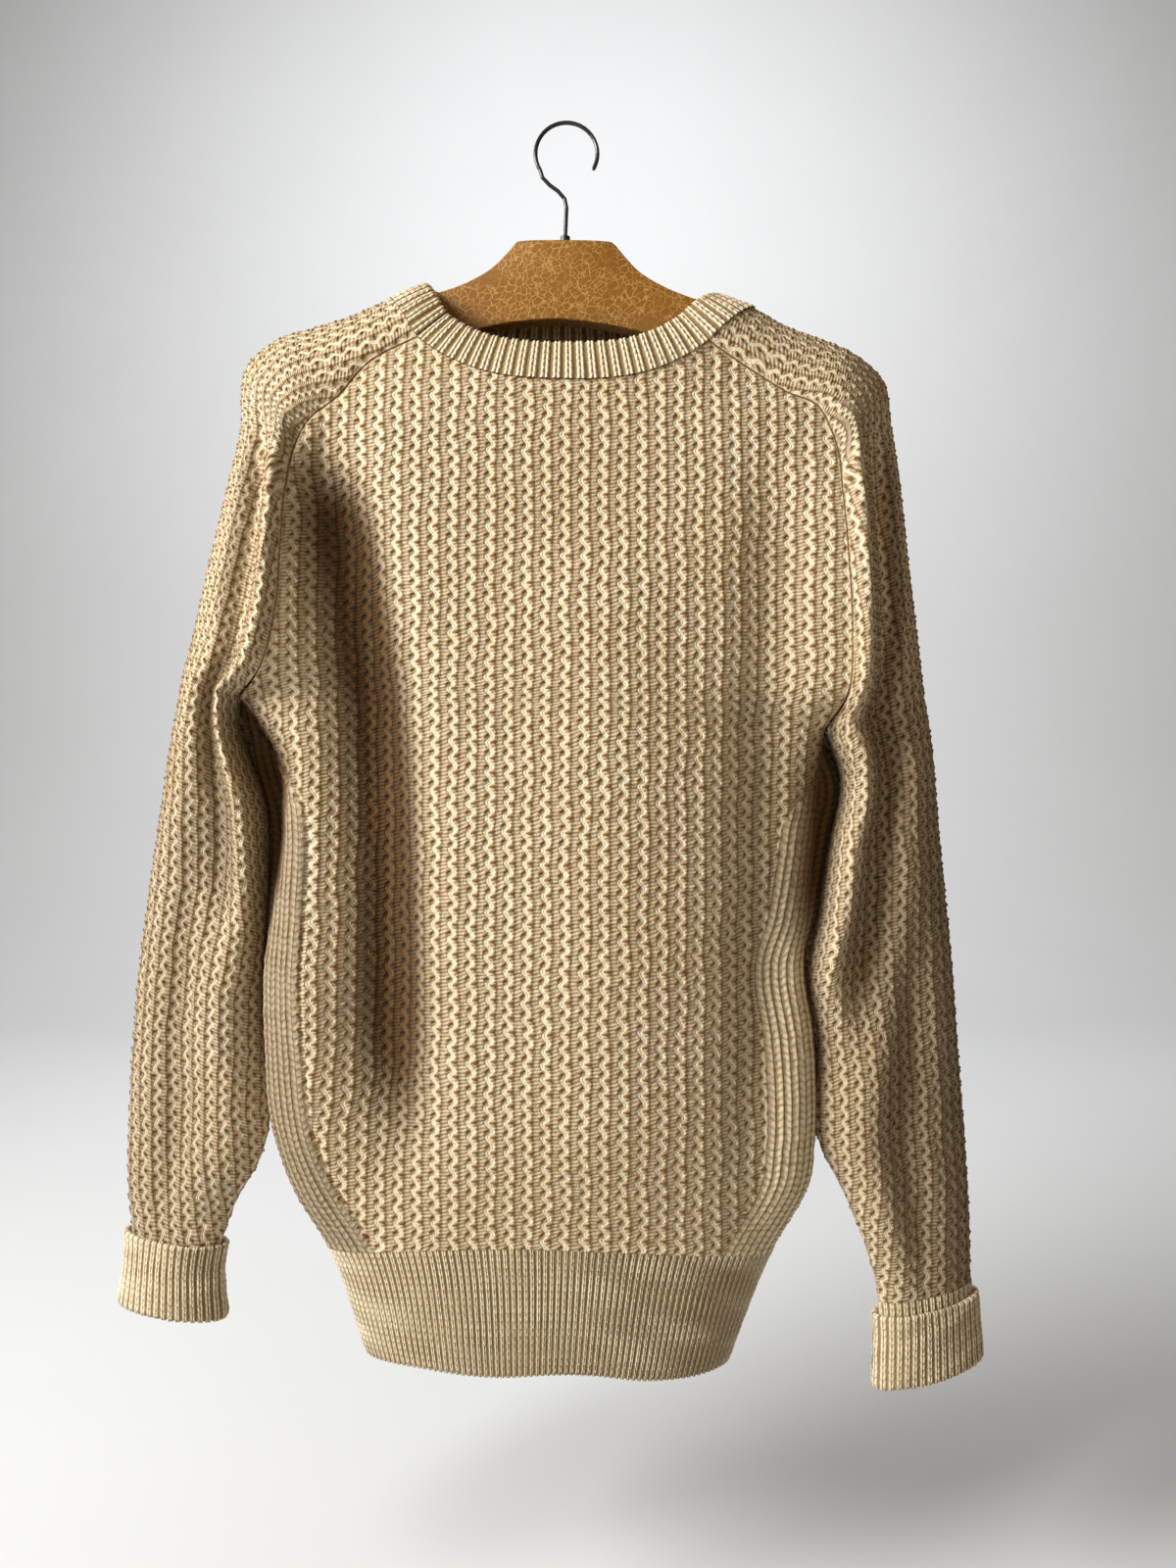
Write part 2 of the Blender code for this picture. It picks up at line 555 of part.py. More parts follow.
def join_rings(rings):
    """Faces between rings of point numbers, where one ring may be a multiple of the next."""
    faces = []
    for a, b in zip(rings, rings[1:] + rings[:1]):
        fine, coarse, flip = (a, b, False) if len(a) >= len(b) else (b, a, True)
        ratio = len(fine) // len(coarse)
        for j, start in enumerate(coarse):
            following = coarse[(j + 1) % len(coarse)]
            run = [fine[(j * ratio + k) % len(fine)] for k in range(ratio + 1)]
            half = (ratio + 1) // 2
            made = [(start, run[k + 1], run[k]) for k in range(half)]
            made.append((start, following, run[half]))
            made += [(following, run[k + 1], run[k]) for k in range(half, ratio)]
            faces += [face[::-1] for face in made] if flip else made
    return faces


def ring_object(name, rings, kind):
    """A closed solid whose cross-section passes through the rings one after another."""
    verts = []
    numbers = []
    for ring in rings:
        numbers.append(list(range(len(verts), len(verts) + len(ring))))
        verts.extend(ring)
    return new_object(name, verts, join_rings(numbers), kind)


def ribbed(ring, normals, offset):
    """A ring moved out by an offset, every second point of it standing out as a rib."""
    swing = np.where(np.arange(len(ring)) % 2 == 0, 0.5, -0.5) * RIB_HEIGHT
    return ring + normals * (offset + swing)[:, None]


def moved(ring, normals, offset):
    return ring + normals * offset


def neckline(samples):
    """The closed neckline, clockwise seen from above: front, right shoulder, back, left."""
    share = np.linspace(0.0, 1.0, samples + 1)
    front = body_point("front", 0.0, body_across(share))
    back = body_point("back", 0.0, body_across(share))
    parts = [front[:-1]]
    for side in ("right", "left"):
        near = sleeve_point(side, "front", 0.0, sleeve_across(0.0, share))
        far = sleeve_point(side, "back", 0.0, sleeve_across(0.0, share))
        over = np.concatenate((near, far[-2::-1]))
        if side == "right":
            parts.append(over[:-1])
            parts.append(back[::-1][:-1])
        else:
            parts.append(over[::-1][:-1])
    return np.concatenate(parts)


def make_neckband():
    """A doubled, ribbed band that leans in over the shoulders and stands up in front."""
    base = even_ring(neckline(60), 2 * BAND_RIBS)
    inward = np.array((0.0, BAND_CENTRE_Y, 0.0)) - base
    inward[:, 2] = 0.0
    inward /= np.linalg.norm(inward, axis=1)[:, None]
    share = np.clip(np.abs(base[:, 0] - BAND_CENTRE_X) / BAND_HALF_WIDTH, 0.0, 1.0)
    lean = np.radians(mix(BAND_LEAN_FRONT, BAND_LEAN_SIDE, share ** BAND_LEAN_POWER))[:, None]
    rise = inward * np.sin(lean) + np.array((0.0, 0.0, 1.0)) * np.cos(lean)
    normals = ring_normals(base, rise)
    foot = base + rise * BAND_FOOT
    low = base + rise * 0.4 * BAND_HEIGHT
    high = base + rise * (BAND_HEIGHT - BAND_ROUND)
    top = base + rise * BAND_HEIGHT
    middle = (BAND_OUT - BAND_IN) / 2.0
    rings = [
        ribbed(foot, normals, BAND_OUT), ribbed(low, normals, BAND_OUT + BAND_SWELL),
        ribbed(high, normals, BAND_OUT), moved(top, normals, middle)[::2],
        moved(high, normals, -BAND_IN)[::2], moved(foot, normals, -BAND_IN)[::2],
    ]
    return ring_object("neckband", rings, "rib")


def body_ring(at, samples=120):
    """The whole body's outline at one section, front then back."""
    share = np.linspace(0.0, 1.0, samples + 1)
    front = body_point("front", at, body_across(share))
    back = body_point("back", at, body_across(share))
    return np.concatenate((front[:-1], back[::-1][:-1]))


def make_hem_rib():
    """The ribbed welt, with a slightly wavy lower edge."""
    down = np.array((0.0, 0.0, -1.0))
    levels = []
    for at in (2.0, 1.5 + HEM_EDGE / 2.0, 1.0 + HEM_EDGE):
        ring = even_ring(body_ring(at), 2 * HEM_RIBS)
        levels.append((ring, ring_normals(ring, -down)))
    seam, middle, edge = levels
    edge[0][:, 2] += HEM_WAVE * np.sin(edge[0][:, 0] * HEM_WAVES + HEM_WAVE_START)
    seam = (seam[0] + down * SEAM_GAP, seam[1])
    rings = [
        ribbed(*seam, 0.0), ribbed(*middle, 0.0), ribbed(*edge, -HEM_EDGE_IN),
        moved(*edge, -WALL)[::4], moved(*middle, -WALL)[::4], moved(*seam, -WALL)[::4],
    ]
    return ring_object("hem_rib", rings, "rib")


def sleeve_ring(side, at, samples=60):
    """A whole sleeve's outline at one section of its lower part."""
    share = np.linspace(0.0, 1.0, samples + 1)
    front = sleeve_point(side, "front", at, sleeve_across(at, share))
    back = sleeve_point(side, "back", at, sleeve_across(at, share))
    ring = np.concatenate((front[:-1], back[::-1][:-1]))
    return ring if side == "right" else ring[::-1]


def make_cuff(side):
    """A ribbed cuff: down from the sleeve's end, turned at its fold, and up again outside."""
    levels = {}
    marks = {"seam": SLEEVE_END, "top": CUFF_TOP[side], "fold": CUFF_FOLD}
    for name, at in marks.items():
        ring = even_ring(sleeve_ring(side, 1.0 + at), 2 * CUFF_RIBS)
        levels[name] = (ring, ring_normals(ring, np.array((0.0, 0.0, 1.0))))
    seam, top, fold = levels["seam"], levels["top"], levels["fold"]
    seam = (seam[0] + np.array((0.0, 0.0, -SEAM_GAP)), seam[1])
    lift = np.array((0.0, 0.0, CUFF_ROUND))
    outside = CUFF_GAP + WALL
    low = (fold[0] + lift, fold[1])
    valley = (fold[0] + 1.6 * lift, fold[1])
    rings = [
        ribbed(*top, outside), ribbed(*low, outside + BAND_SWELL), moved(*fold, 0.3 * WALL)[::2],
        moved(*low, -WALL)[::2], moved(*seam, -WALL)[::2], moved(*seam, 0.0)[::2],
        moved(*valley, 0.0)[::2], moved(*valley, CUFF_GAP)[::2], moved(*top, CUFF_GAP)[::2],
    ]
    return ring_object("cuff_" + side, rings, "rib")


def seat_line(side):
    """The hanger's arm just below the cloth of the shoulder, from the neck outwards."""
    at = np.array(SEAT_ROWS) / UPPER_ROWS
    line = place(UPPER[side], "top", at)[:, (0, 2)]
    ahead = place(UPPER[side], "top", at + 0.01)[:, (0, 2)] - line
    ahead /= np.linalg.norm(ahead, axis=1)[:, None]
    below = np.stack((ahead[:, 1], -ahead[:, 0]), axis=-1)
    below *= -np.sign(below[:, 1])[:, None]
    return line + below * (WALL + SEAT_GAP)


def hanger_outline():
    """The hanger's outline seen from the front, as x and z, going round clockwise."""
    halves = {}
    for side in ("left", "right"):
        top = np.stack((HANGER_TOP[side + "_x"], HANGER_TOP[side + "_z"]), axis=-1)
        under = np.stack((HANGER_UNDER[side + "_x"], HANGER_UNDER[side + "_z"]), axis=-1)
        halves[side] = np.vstack((top, seat_line(side), TIP[side], under[::-1]))
    return np.vstack((halves["right"], halves["left"][::-1]))


def make_hanger_body():
    """A flat hanger cut from board, with rounded edges, covered all over."""
    outline = hanger_outline()
    ahead = np.roll(outline, -1, axis=0) - outline
    ahead /= np.linalg.norm(ahead, axis=1)[:, None]
    turn = ahead + np.roll(ahead, 1, axis=0)
    turn /= np.linalg.norm(turn, axis=1)[:, None]
    inward = np.stack((turn[:, 1], -turn[:, 0]), axis=-1)
    half = HANGER_THICKNESS / 2.0
    levels = ((-half, HANGER_EDGE), (-half + 0.3 * HANGER_EDGE, 0.3 * HANGER_EDGE),
              (-half + HANGER_EDGE, 0.0))
    levels += tuple((-y, inset) for y, inset in levels[::-1])
    count = len(outline)
    verts = []
    for y, inset in levels:
        flat = outline + inward * inset
        verts.extend(np.stack((flat[:, 0], np.full(count, y), flat[:, 1]), axis=-1))
    faces = [tuple(range(count)), tuple(range(len(verts) - 1, len(verts) - count - 1, -1))]
    for level in range(len(levels) - 1):
        for i in range(count):
            a = level * count + i
            b = level * count + (i + 1) % count
            faces.append((b, a, a + count, b + count))
    return new_object("hanger_body", verts, faces, "leatherette")


def make_hanger_hook():
    """A bent wire hook that stands in a small collar on the hanger's flat top."""
    wire = HOOK_WIRE / 2.0
    centre_z = wire - HOOK_LOOP
    foot_z = HANGER_TOP["left_z"][0] + SEAM_GAP
    line = [(HOOK_FOOT_X, foot_z, COLLAR_RADIUS),
            (HOOK_FOOT_X, foot_z + COLLAR_HEIGHT, COLLAR_RADIUS),
            (HOOK_FOOT_X, foot_z + COLLAR_TOP, wire)]
    collar = len(line)
    line += [(x, z, wire) for x, z in HOOK_STEM]
    for i in range(HOOK_STEPS + 1):
        angle = math.radians(mix(HOOK_FROM, HOOK_TO, i / HOOK_STEPS))
        line.append((HOOK_LOOP * math.cos(angle), centre_z + HOOK_LOOP * math.sin(angle), wire))
    line.append((line[-1][0] - 0.2 * wire, line[-1][1] - 0.9 * wire, 0.6 * wire))
    centres = [Vector((x, 0.0, z)) for x, z, radius in line]
    verts = []
    for i, centre in enumerate(centres):
        ahead = centres[min(i + 1, len(centres) - 1)] - centres[max(i - 1, 0)]
        if i < collar:
            ahead = Vector((0.0, 0.0, 1.0))
        side = Vector((0.0, 1.0, 0.0))
        across = ahead.normalized().cross(side)
        for k in range(HOOK_SIDES):
            turn = 2.0 * math.pi * k / HOOK_SIDES
            verts.append(centre + (across * math.cos(turn) + side * math.sin(turn)) * line[i][2])
    far_end = range(len(verts) - 1, len(verts) - HOOK_SIDES - 1, -1)
    faces = [tuple(range(HOOK_SIDES)), tuple(far_end)]
    for i in range(len(centres) - 1):
        for k in range(HOOK_SIDES):
            a = i * HOOK_SIDES + k
            b = i * HOOK_SIDES + (k + 1) % HOOK_SIDES
            faces.append((b, a, a + HOOK_SIDES, b + HOOK_SIDES))
    return new_object("hanger_hook", verts, faces, "wire")


def main():
    for thing in list(bpy.data.objects):
        bpy.data.objects.remove(thing)
    skins = [
        panel_skin("front", "front", FRONT_COLUMNS),
        panel_skin("back", "back", BACK_COLUMNS),
        sleeve_skin("sleeve_left", "left"),
        sleeve_skin("sleeve_right", "right"),
    ]
    normal_at = shared_normals(skins)
    for skin in skins:
        verts, faces = wall(skin, normal_at)
        new_object(skin.name, verts, faces, "wool")
    make_neckband()
    make_hem_rib()
    for side in ("left", "right"):
        make_cuff(side)
    make_hanger_body()
    make_hanger_hook()


main()
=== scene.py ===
"""Looks of the fisherman sweater: knit, ribs, folds, covered hanger, light and camera.

Metres in the row frame: +Z up, +X to the viewer's right, the front faces -Y.
"""
import math

import bpy
import numpy as np
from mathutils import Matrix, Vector


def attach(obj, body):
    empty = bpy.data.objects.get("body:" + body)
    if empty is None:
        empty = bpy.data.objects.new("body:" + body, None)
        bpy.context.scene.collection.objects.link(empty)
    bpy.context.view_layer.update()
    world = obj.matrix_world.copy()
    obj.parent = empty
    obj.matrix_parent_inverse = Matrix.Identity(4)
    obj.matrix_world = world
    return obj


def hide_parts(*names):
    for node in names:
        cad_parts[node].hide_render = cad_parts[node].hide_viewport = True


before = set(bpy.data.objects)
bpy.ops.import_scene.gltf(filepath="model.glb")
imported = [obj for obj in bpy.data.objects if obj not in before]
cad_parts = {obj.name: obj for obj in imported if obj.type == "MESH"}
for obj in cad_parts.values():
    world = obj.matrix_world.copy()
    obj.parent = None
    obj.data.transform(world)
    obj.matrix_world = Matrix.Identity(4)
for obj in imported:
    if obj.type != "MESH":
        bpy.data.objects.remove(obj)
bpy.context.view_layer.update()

# Sizes shared with the solids, in metres, with places as sections of the body or sleeve
WALL = 0.003
BAND_HEIGHT = 0.0255
BAND_OUT = 0.0012
BAND_IN = 0.0034
BAND_RIBS = 76
HEM_RIBS = 148
CUFF_RIBS = 34
CUFF_GAP = 0.0014
UPPER_ROWS = 11
SEAT_GAP = 0.0031
HANGER_THICKNESS = 0.013
HANGER_EDGE = 0.0040
NECK_DIP = 0.0285
NECK_DIP_REACH = 0.6
BACK_DIP = 0.0075
SEAM_LIFT = 0.011
CUFF_TOP = {"left": 0.991, "right": 1.022}
CUFF_FOLD = 1.125
HEM_EDGE = 1.2
HEM_WAVE = 0.0015
HEM_WAVES = 58.0
HEM_WAVE_START = 1.2
BAND_CENTRE_X = 0.003
BAND_CENTRE_Y = -0.010
BAND_HALF_WIDTH = 0.120
BAND_LEAN_FRONT = 10.0
BAND_LEAN_SIDE = 72.0
BAND_LEAN_POWER = 2.2
BODY_FOLD_FADE = 0.05

# Camera, and the floor that sweeps up behind
CAMERA_X = 0.0142
CAMERA_Z = -0.4356
CAMERA_AWAY = 0.78
CAMERA_LENS = 27.1
FLOOR_Z = -1.0
FLOOR_BACK = 2.0
SWEEP = 1.2
SWEEP_STEPS = 16

# Knit: width of a wale, height of a pattern row, how far the strands stand out, then the
# strips of plain stitches beside the seams (left and right side), and the ribs
BODY_WALE = 0.0117
BODY_PERIOD = 0.0094
SLEEVE_WALE = 0.0096
SLEEVE_PERIOD = 0.0096
STRAND_HEIGHT = 0.0019
KNIT_SINK = 0.0007
SEAM_LEVEL = 0.0006
STRIP_SIDES = (0.040, 0.042)
SEAM_RIDGE = 0.0045
STRIP_RAGLAN = 0.0012
STRIP_COLUMN = 0.0105
STRIP_ROW = 0.0048
STRIP_BLEND = 0.0008
STRIP_VEE = 0.98
STRIP_LOW = 0.05
STRIP_TALL = 0.80
LOOP_PITCH = 0.0068
RIB_STAND = 0.0013
RIB_ROW = 0.0043
RIB_VEE = 0.70

# How far the back swells out beside the gaps under the arms, with more of it just below them
SWELL = 0.017
SWELL_EXTRA = 0.013
SWELL_AT = 1.06
SWELL_REACH = 0.07


def table(names, rows):
    """A table as one list for each named column."""
    return {name: np.array([row[i] for row in rows]) for i, name in enumerate(names.split())}


# The upper sleeve, one row for each section from the neckline (0) to the underarm (1):
# where it meets the front panel, its shoulder or outer line, and where it meets the back
UPPER_COLUMNS = ("at front_x front_y front_z top_x top_y top_z back_x back_y back_z "
                 "front_bulge back_bulge")
UPPER = {
    "left": table(UPPER_COLUMNS, (
        (0.00, -0.0938, -0.036, -0.1534, -0.1159, 0.000, -0.1165, -0.088, 0.0170, -0.1255, 0.020, 0.009),
        (0.12, -0.1239, -0.034, -0.1682, -0.1405, 0.000, -0.1275, -0.118, 0.0200, -0.1500, 0.020, 0.011),
        (0.24, -0.1445, -0.036, -0.1917, -0.1680, 0.000, -0.1359, -0.143, 0.0220, -0.1780, 0.021, 0.013),
        (0.33, -0.1602, -0.040, -0.2059, -0.1916, 0.000, -0.1437, -0.160, 0.0225, -0.2010, 0.022, 0.013),
        (0.40, -0.1677, -0.042, -0.2194, -0.2105, 0.001, -0.1590, -0.170, 0.0225, -0.2200, 0.020, 0.013),
        (0.52, -0.1736, -0.050, -0.2539, -0.2155, 0.003, -0.2000, -0.181, 0.0225, -0.2550, 0.018, 0.012),
        (0.65, -0.1753, -0.055, -0.2912, -0.2245, 0.004, -0.2370, -0.188, 0.0215, -0.2920, 0.018, 0.011),
        (0.78, -0.1775, -0.058, -0.3277, -0.2360, 0.005, -0.2830, -0.194, 0.0195, -0.3280, 0.018, 0.011),
        (0.90, -0.1874, -0.055, -0.3634, -0.2460, 0.005, -0.3290, -0.202, 0.0080, -0.3620, 0.020, 0.016),
        (1.00, -0.2099, -0.023, -0.3796, -0.2535, 0.005, -0.3650, -0.2099, -0.023, -0.3796, 0.032, 0.027),
    )),
    "right": table(UPPER_COLUMNS, (
        (0.00, 0.0901, -0.036, -0.1559, 0.1242, 0.000, -0.1229, 0.090, 0.0170, -0.1275, 0.020, 0.009),
        (0.12, 0.1164, -0.034, -0.1731, 0.1455, 0.000, -0.1346, 0.118, 0.0200, -0.1550, 0.020, 0.011),
        (0.24, 0.1402, -0.036, -0.1886, 0.1700, 0.000, -0.1437, 0.141, 0.0220, -0.1830, 0.021, 0.013),
        (0.33, 0.1591, -0.040, -0.1992, 0.1905, 0.000, -0.1532, 0.156, 0.0225, -0.2050, 0.022, 0.013),
        (0.40, 0.1681, -0.044, -0.2200, 0.2075, 0.001, -0.1670, 0.165, 0.0225, -0.2260, 0.020, 0.013),
        (0.52, 0.1718, -0.050, -0.2540, 0.2150, 0.002, -0.2000, 0.170, 0.0225, -0.2620, 0.018, 0.012),
        (0.65, 0.1745, -0.055, -0.2950, 0.2215, 0.003, -0.2420, 0.174, 0.0215, -0.3020, 0.018, 0.011),
        (0.78, 0.1760, -0.058, -0.3397, 0.2270, 0.005, -0.2880, 0.177, 0.0195, -0.3420, 0.018, 0.011),
        (0.90, 0.1742, -0.054, -0.3800, 0.2330, 0.005, -0.3380, 0.175, 0.0080, -0.3800, 0.020, 0.016),
        (1.00, 0.1660, -0.023, -0.4010, 0.2375, 0.005, -0.3800, 0.1660, -0.023, -0.4010, 0.032, 0.027),
    )),
}

# The lower sleeve, from the underarm (0) past the cuff seam (1) to the cuff's fold:
# its inner and outer edge, and how far the front and back stand out from them
LOWER_COLUMNS = "at inner_x inner_y inner_z outer_x outer_y outer_z front_bulge back_bulge"
LOWER = {
    "left": table(LOWER_COLUMNS, (
        (0.00, -0.2099, -0.023, -0.3796, -0.2535, 0.005, -0.3650, 0.032, 0.027),
        (0.05, -0.2116, -0.017, -0.3975, -0.2570, 0.005, -0.3850, 0.034, 0.024),
        (0.12, -0.2060, -0.009, -0.4210, -0.2618, 0.004, -0.4130, 0.038, 0.022),
        (0.20, -0.1962, -0.009, -0.4489, -0.2668, 0.004, -0.4440, 0.036, 0.023),
        (0.30, -0.1942, -0.009, -0.4850, -0.2728, 0.003, -0.4840, 0.031, 0.025),
        (0.51, -0.1978, -0.008, -0.5620, -0.2828, 0.002, -0.5620, 0.029, 0.024),
        (0.66, -0.1972, -0.008, -0.6130, -0.2872, 0.002, -0.6130, 0.027, 0.022),
        (0.80, -0.1948, -0.008, -0.6640, -0.2892, 0.001, -0.6620, 0.025, 0.020),
        (0.86, -0.2015, -0.008, -0.6840, -0.2894, 0.000, -0.6830, 0.024, 0.019),
        (0.93, -0.2155, -0.008, -0.7085, -0.2888, 0.000, -0.7060, 0.021, 0.017),
        (1.00, -0.2262, -0.008, -0.7400, -0.2862, -0.001, -0.7320, 0.019, 0.016),
        (1.13, -0.2252, -0.009, -0.7850, -0.2905, -0.004, -0.7760, 0.018, 0.016),
    )),
    "right": table(LOWER_COLUMNS, (
        (0.00, 0.1660, -0.023, -0.4010, 0.2375, 0.005, -0.3800, 0.032, 0.027),
        (0.04, 0.1743, -0.018, -0.4200, 0.2402, 0.005, -0.3970, 0.034, 0.026),
        (0.10, 0.1780, -0.010, -0.4380, 0.2430, 0.005, -0.4230, 0.038, 0.022),
        (0.20, 0.1703, -0.009, -0.4780, 0.2462, 0.004, -0.4650, 0.038, 0.022),
        (0.30, 0.1642, -0.010, -0.5170, 0.2510, 0.004, -0.5100, 0.035, 0.024),
        (0.41, 0.1560, -0.015, -0.5560, 0.2550, 0.003, -0.5520, 0.031, 0.025),
        (0.53, 0.1620, -0.016, -0.6000, 0.2580, 0.002, -0.5980, 0.029, 0.024),
        (0.72, 0.1640, -0.014, -0.6690, 0.2630, 0.001, -0.6680, 0.027, 0.022),
        (0.81, 0.1800, -0.012, -0.7010, 0.2648, 0.000, -0.7000, 0.025, 0.020),
        (0.91, 0.1955, -0.010, -0.7390, 0.2662, 0.000, -0.7330, 0.021, 0.017),
        (1.00, 0.2035, -0.010, -0.7720, 0.2665, -0.001, -0.7610, 0.019, 0.016),
        (1.13, 0.2030, -0.012, -0.8300, 0.2690, -0.006, -0.8120, 0.018, 0.016),
    )),
}

# The body's side edges from the underarm (0) to the hem seam (1) and the hem's edge
BODY_COLUMNS = ("at left_x left_y left_z right_x right_y right_z front_y back_y "
                "left_recess right_recess")
BODY = table(BODY_COLUMNS, (
    (0.000, -0.2099, -0.023, -0.3796, 0.1660, -0.023, -0.4010, -0.0540, 0.0225, 0.000, 0.000),
    (0.045, -0.2040, -0.020, -0.3955, 0.1665, -0.019, -0.4150, -0.0545, 0.0225, 0.006, 0.002),
    (0.100, -0.2035, -0.010, -0.4160, 0.1742, -0.012, -0.4330, -0.0550, 0.0225, 0.015, 0.010),
    (0.220, -0.1931, -0.009, -0.4577, 0.1697, -0.010, -0.4700, -0.0560, 0.0225, 0.008, 0.008),
    (0.380, -0.1936, -0.012, -0.5150, 0.1617, -0.010, -0.5210, -0.0565, 0.0230, 0.003, 0.004),
    (0.515, -0.1963, -0.013, -0.5617, 0.1542, -0.015, -0.5560, -0.0565, 0.0230, 0.000, 0.000),
    (0.620, -0.1955, -0.014, -0.6000, 0.1600, -0.016, -0.5970, -0.0560, 0.0230, 0.000, 0.000),
    (0.800, -0.1889, -0.014, -0.6633, 0.1612, -0.015, -0.6680, -0.0540, 0.0225, 0.000, 0.000),
    (0.905, -0.1750, -0.014, -0.7000, 0.1560, -0.015, -0.6980, -0.0510, 0.0215, 0.000, 0.000),
    (1.000, -0.1545, -0.014, -0.7333, 0.1340, -0.014, -0.7364, -0.0480, 0.0205, 0.000, 0.000),
    (1.200, -0.1293, -0.013, -0.8015, 0.1056, -0.013, -0.8085, -0.0460, 0.0190, 0.000, 0.000),
))
CHEST = table("at front_y back_y", (
    (0.0, -0.0445, 0.0225), (0.3, -0.0480, 0.0235), (0.6, -0.0520, 0.0235), (1.0, -0.0540, 0.0225)))

# The largest folds of the front: three places down each fold's line, its half width and depth,
# where a positive depth is a hollow and a negative one a ridge
BODY_FOLDS = table("x_top z_top x_mid z_mid x_low z_low width depth", (
    (-0.152, -0.235, -0.126, -0.370, -0.109, -0.650, 0.027, 0.025),
    (0.026, -0.300, 0.032, -0.480, 0.028, -0.700, 0.058, -0.010),
    (0.130, -0.250, 0.124, -0.400, 0.118, -0.680, 0.020, 0.010),
    (-0.166, -0.420, -0.168, -0.520, -0.160, -0.650, 0.014, -0.006),
))

# The same for the softer folds of the back
BACK_FOLDS = table("x_top z_top x_mid z_mid x_low z_low width depth", (
    (-0.140, -0.270, -0.100, -0.400, -0.105, -0.640, 0.026, 0.007),
    (0.128, -0.290, 0.090, -0.430, 0.088, -0.660, 0.024, 0.007),
    (0.045, -0.420, 0.010, -0.540, 0.000, -0.690, 0.030, 0.005),
    (-0.050, -0.240, -0.030, -0.330, -0.036, -0.460, 0.022, 0.004),
))

# The largest folds of the sleeves, down the sleeve from one section to another (the lower
# sleeve's sections count on from 1), across it from the inner edge (0) to the outer one (1)
SLEEVE_FOLDS = {
    "left": table("from_at to_at from_across to_across width depth", (
        (0.40, 1.40, 0.18, 0.11, 0.12, -0.012), (0.45, 1.45, 0.46, 0.32, 0.14, 0.014),
        (1.15, 1.95, 0.55, 0.60, 0.13, 0.007), (1.10, 1.85, 0.26, 0.22, 0.12, -0.004))),
    "right": table("from_at to_at from_across to_across width depth", (
        (0.40, 1.50, 0.24, 0.10, 0.14, -0.012), (0.50, 1.50, 0.58, 0.34, 0.15, 0.014),
        (1.35, 1.98, 0.70, 0.45, 0.13, 0.007), (1.45, 1.90, 0.42, 0.20, 0.12, -0.004))),
}

# Hanger: its top outline from the flat top outwards, on the left and on the right,
# and the same for its underside; then the rows of the upper sleeve that it follows, and its tips
HANGER_TOP = table("left_x left_z right_x right_z", (
    (-0.0310, -0.0780, 0.0280, -0.0783), (-0.0345, -0.0812, 0.0325, -0.0815),
    (-0.0389, -0.0869, 0.0375, -0.0880), (-0.0505, -0.0985, 0.0485, -0.1002),
    (-0.0693, -0.1082, 0.0665, -0.1102), (-0.0868, -0.1135, 0.0841, -0.1168),
    (-0.1120, -0.1222, 0.1160, -0.1282)))
HANGER_UNDER = table("left_x left_z right_x right_z", (
    (-0.0070, -0.1312, 0.0000, -0.1315), (-0.0300, -0.1326, 0.0250, -0.1342),
    (-0.0520, -0.1362, 0.0480, -0.1392), (-0.0900, -0.1475, 0.0900, -0.1520),
    (-0.1400, -0.1640, 0.1400, -0.1700), (-0.1820, -0.1785, 0.1810, -0.1855),
    (-0.1960, -0.1800, 0.1940, -0.1875)))
SEAT_ROWS = (1, 2, 3)
TIP = {"left": ((-0.1945, -0.1580), (-0.1990, -0.1660), (-0.1995, -0.1735)),
       "right": ((0.1915, -0.1665), (0.1960, -0.1740), (0.1965, -0.1815))}


def track(keys, values):
    """A smooth function through values that are given at rising keys."""
    spans = np.diff(keys)
    slopes = np.diff(values) / spans
    inner = (slopes[:-1] * spans[1:] + slopes[1:] * spans[:-1]) / (spans[1:] + spans[:-1])
    bends = np.concatenate((slopes[:1], inner, slopes[-1:]))

    def at(key):
        key = np.clip(key, keys[0], keys[-1])
        k = np.clip(np.searchsorted(keys, key, side="right") - 1, 0, len(spans) - 1)
        u = (key - keys[k]) / spans[k]
        rest = 1.0 - u
        start = (1.0 + 2.0 * u) * rest**2 * values[k] + u * rest**2 * spans[k] * bends[k]
        end = u**2 * (3.0 - 2.0 * u) * values[k + 1] - u**2 * rest * spans[k] * bends[k + 1]
        return start + end

    return at


def column(source, name, key):
    """One column of a table, read at any key."""
    return track(source["at"], source[name])(key)


def place(source, name, key):
    """A point whose columns are NAME_x, NAME_y and NAME_z."""
    return np.stack([column(source, name + axis, key) for axis in ("_x", "_y", "_z")], axis=-1)


def mix(a, b, share):
    return a + (b - a) * share


def step(low, high, value):
    """Rises smoothly from 0 at low to 1 at high."""
    u = np.clip((value - low) / (high - low), 0.0, 1.0)
    return u * u * (3.0 - 2.0 * u)


def hump(distance, width):
    """1 on a fold's line, falling smoothly to 0 about two half widths away."""
    return np.exp(-((distance / width) ** 2))


def body_edge(side, face, at):
    """The panel's edge: the raglan seam down to section 1, then the body's side."""
    upper = place(UPPER[side], face, np.minimum(at, 1.0))
    lower = place(BODY, side, np.maximum(at - 1.0, 0.0))
    return np.where((at <= 1.0)[..., None], upper, lower)


def body_folds(x, z):
    """How far the front's folds push the cloth back at a place on it."""
    push = np.zeros_like(x)
    for x1, z1, x2, z2, x3, z3, width, depth in zip(*BODY_FOLDS.values()):
        line = track(np.array((z3, z2, z1)), np.array((x3, x2, x1)))(z)
        ends = step(z3 - 0.09, z3 + 0.08, z) * step(z1 + 0.05, z1 - 0.05, z)
        push += depth * ends * hump(x - line, width)
    return push


